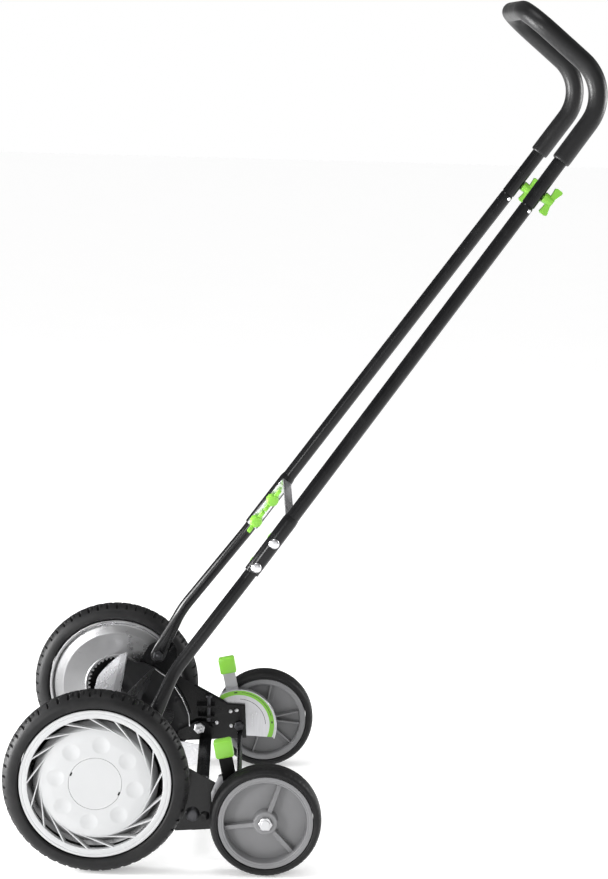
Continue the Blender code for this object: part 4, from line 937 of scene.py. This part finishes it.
def room():
    """A white room: its light comes more from the front, and in reflections only the left side is bright."""
    world = bpy.data.worlds.new("studio")
    world.use_nodes = True
    tree = world.node_tree
    background = tree.nodes["Background"]
    background.inputs["Color"].default_value = (1.0, 1.0, 1.0, 1.0)
    rays = tree.nodes.new("ShaderNodeLightPath")
    towards = tree.nodes.new("ShaderNodeTexCoord").outputs["Generated"]
    parts = tree.nodes.new("ShaderNodeSeparateXYZ")
    tree.links.new(towards, parts.inputs[0])

    def graded(direction, *limits):
        grade = tree.nodes.new("ShaderNodeMapRange")
        tree.links.new(parts.outputs[direction], grade.inputs["Value"])
        for name, value in zip(("From Min", "From Max", "To Min", "To Max"), limits):
            grade.inputs[name].default_value = value
        return grade.outputs["Result"]

    def chosen(factor, plain, special):
        mix = tree.nodes.new("ShaderNodeMix")
        tree.links.new(factor, mix.inputs["Factor"])
        for socket, value in (("A", plain), ("B", special)):
            if isinstance(value, float):
                mix.inputs[socket].default_value = value
            else:
                tree.links.new(value, mix.inputs[socket])
        return mix.outputs["Result"]

    diffuse = chosen(rays.outputs["Is Diffuse Ray"], 1.0, graded("X", -1.0, 1.0, 0.30, 1.30))
    strength = chosen(rays.outputs["Is Glossy Ray"], diffuse, graded("Y", 0.55, 1.0, 0.10, 0.66))
    tree.links.new(strength, background.inputs["Strength"])
    bpy.context.scene.world = world


def studio():
    paper_floor()
    room()
    for name, spot, target, size, power in (
            ("left_box", (2.2, 0.12, 0.42), (0.2, 0.1, 0.2), 1.0, 100),
            ("front_box", (1.65, 2.05, 0.75), (0.2, 0, 0.15), 0.5, 20),
            ("top_box", (0.3, 0.9, 3.4), (0.0, 0, 0.4), 1.0, 18),
            ("right_box", (-2.0, -0.45, 1.05), (-0.35, 0.1, 0.95), 0.7, 26)):
        lamp = bpy.data.lights.new(name, "AREA")
        lamp.size = size
        lamp.energy = power
        item = bpy.data.objects.new(name, lamp)
        item.location = spot
        item.rotation_euler = (Vector(target) - Vector(spot)).to_track_quat("-Z", "Y").to_euler()
        bpy.context.collection.objects.link(item)
    bpy.context.scene.view_settings.view_transform = "Standard"


def camera():
    """A long lens at the mower's left, a little above its middle, turned by small angles about each axis."""
    yaw, pitch, roll = 0.0251, 0.1654, 0.0280
    behind, up, forward = Vector((1, 0, 0)), Vector((0, 0, 1)), Vector((0, -1, 0))
    turn = Matrix.Rotation(yaw, 3, "Z")
    behind, up, forward = turn @ behind, turn @ up, turn @ forward
    forward, up = (math.cos(pitch) * forward - math.sin(pitch) * up,
                   math.sin(pitch) * forward + math.cos(pitch) * up)
    behind, up = (math.cos(roll) * behind + math.sin(roll) * up,
                  -math.sin(roll) * behind + math.cos(roll) * up)
    # The axes above are in place()'s terms, whose first runs rearward: the frame's X runs forward.
    axes = Matrix([Vector((-v.x, v.y, v.z)) for v in (behind, up, -forward)]).transposed().to_4x4()
    data = bpy.data.cameras.new("camera")
    data.lens = 96.85
    data.sensor_width = 36.0
    item = bpy.data.objects.new("camera", data)
    item.matrix_world = Matrix.Translation(place(0.1915, 3.3364, 1.1166)) @ axes
    bpy.context.collection.objects.link(item)
    bpy.context.scene.camera = item


driven_wheels()
rear_wheels()
levers()
plates()
arm_details()
frame_bolts()
reel()
lower_tubes()
upper_tubes()
foam_grip()
brace()
fasteners()
studio()
camera()
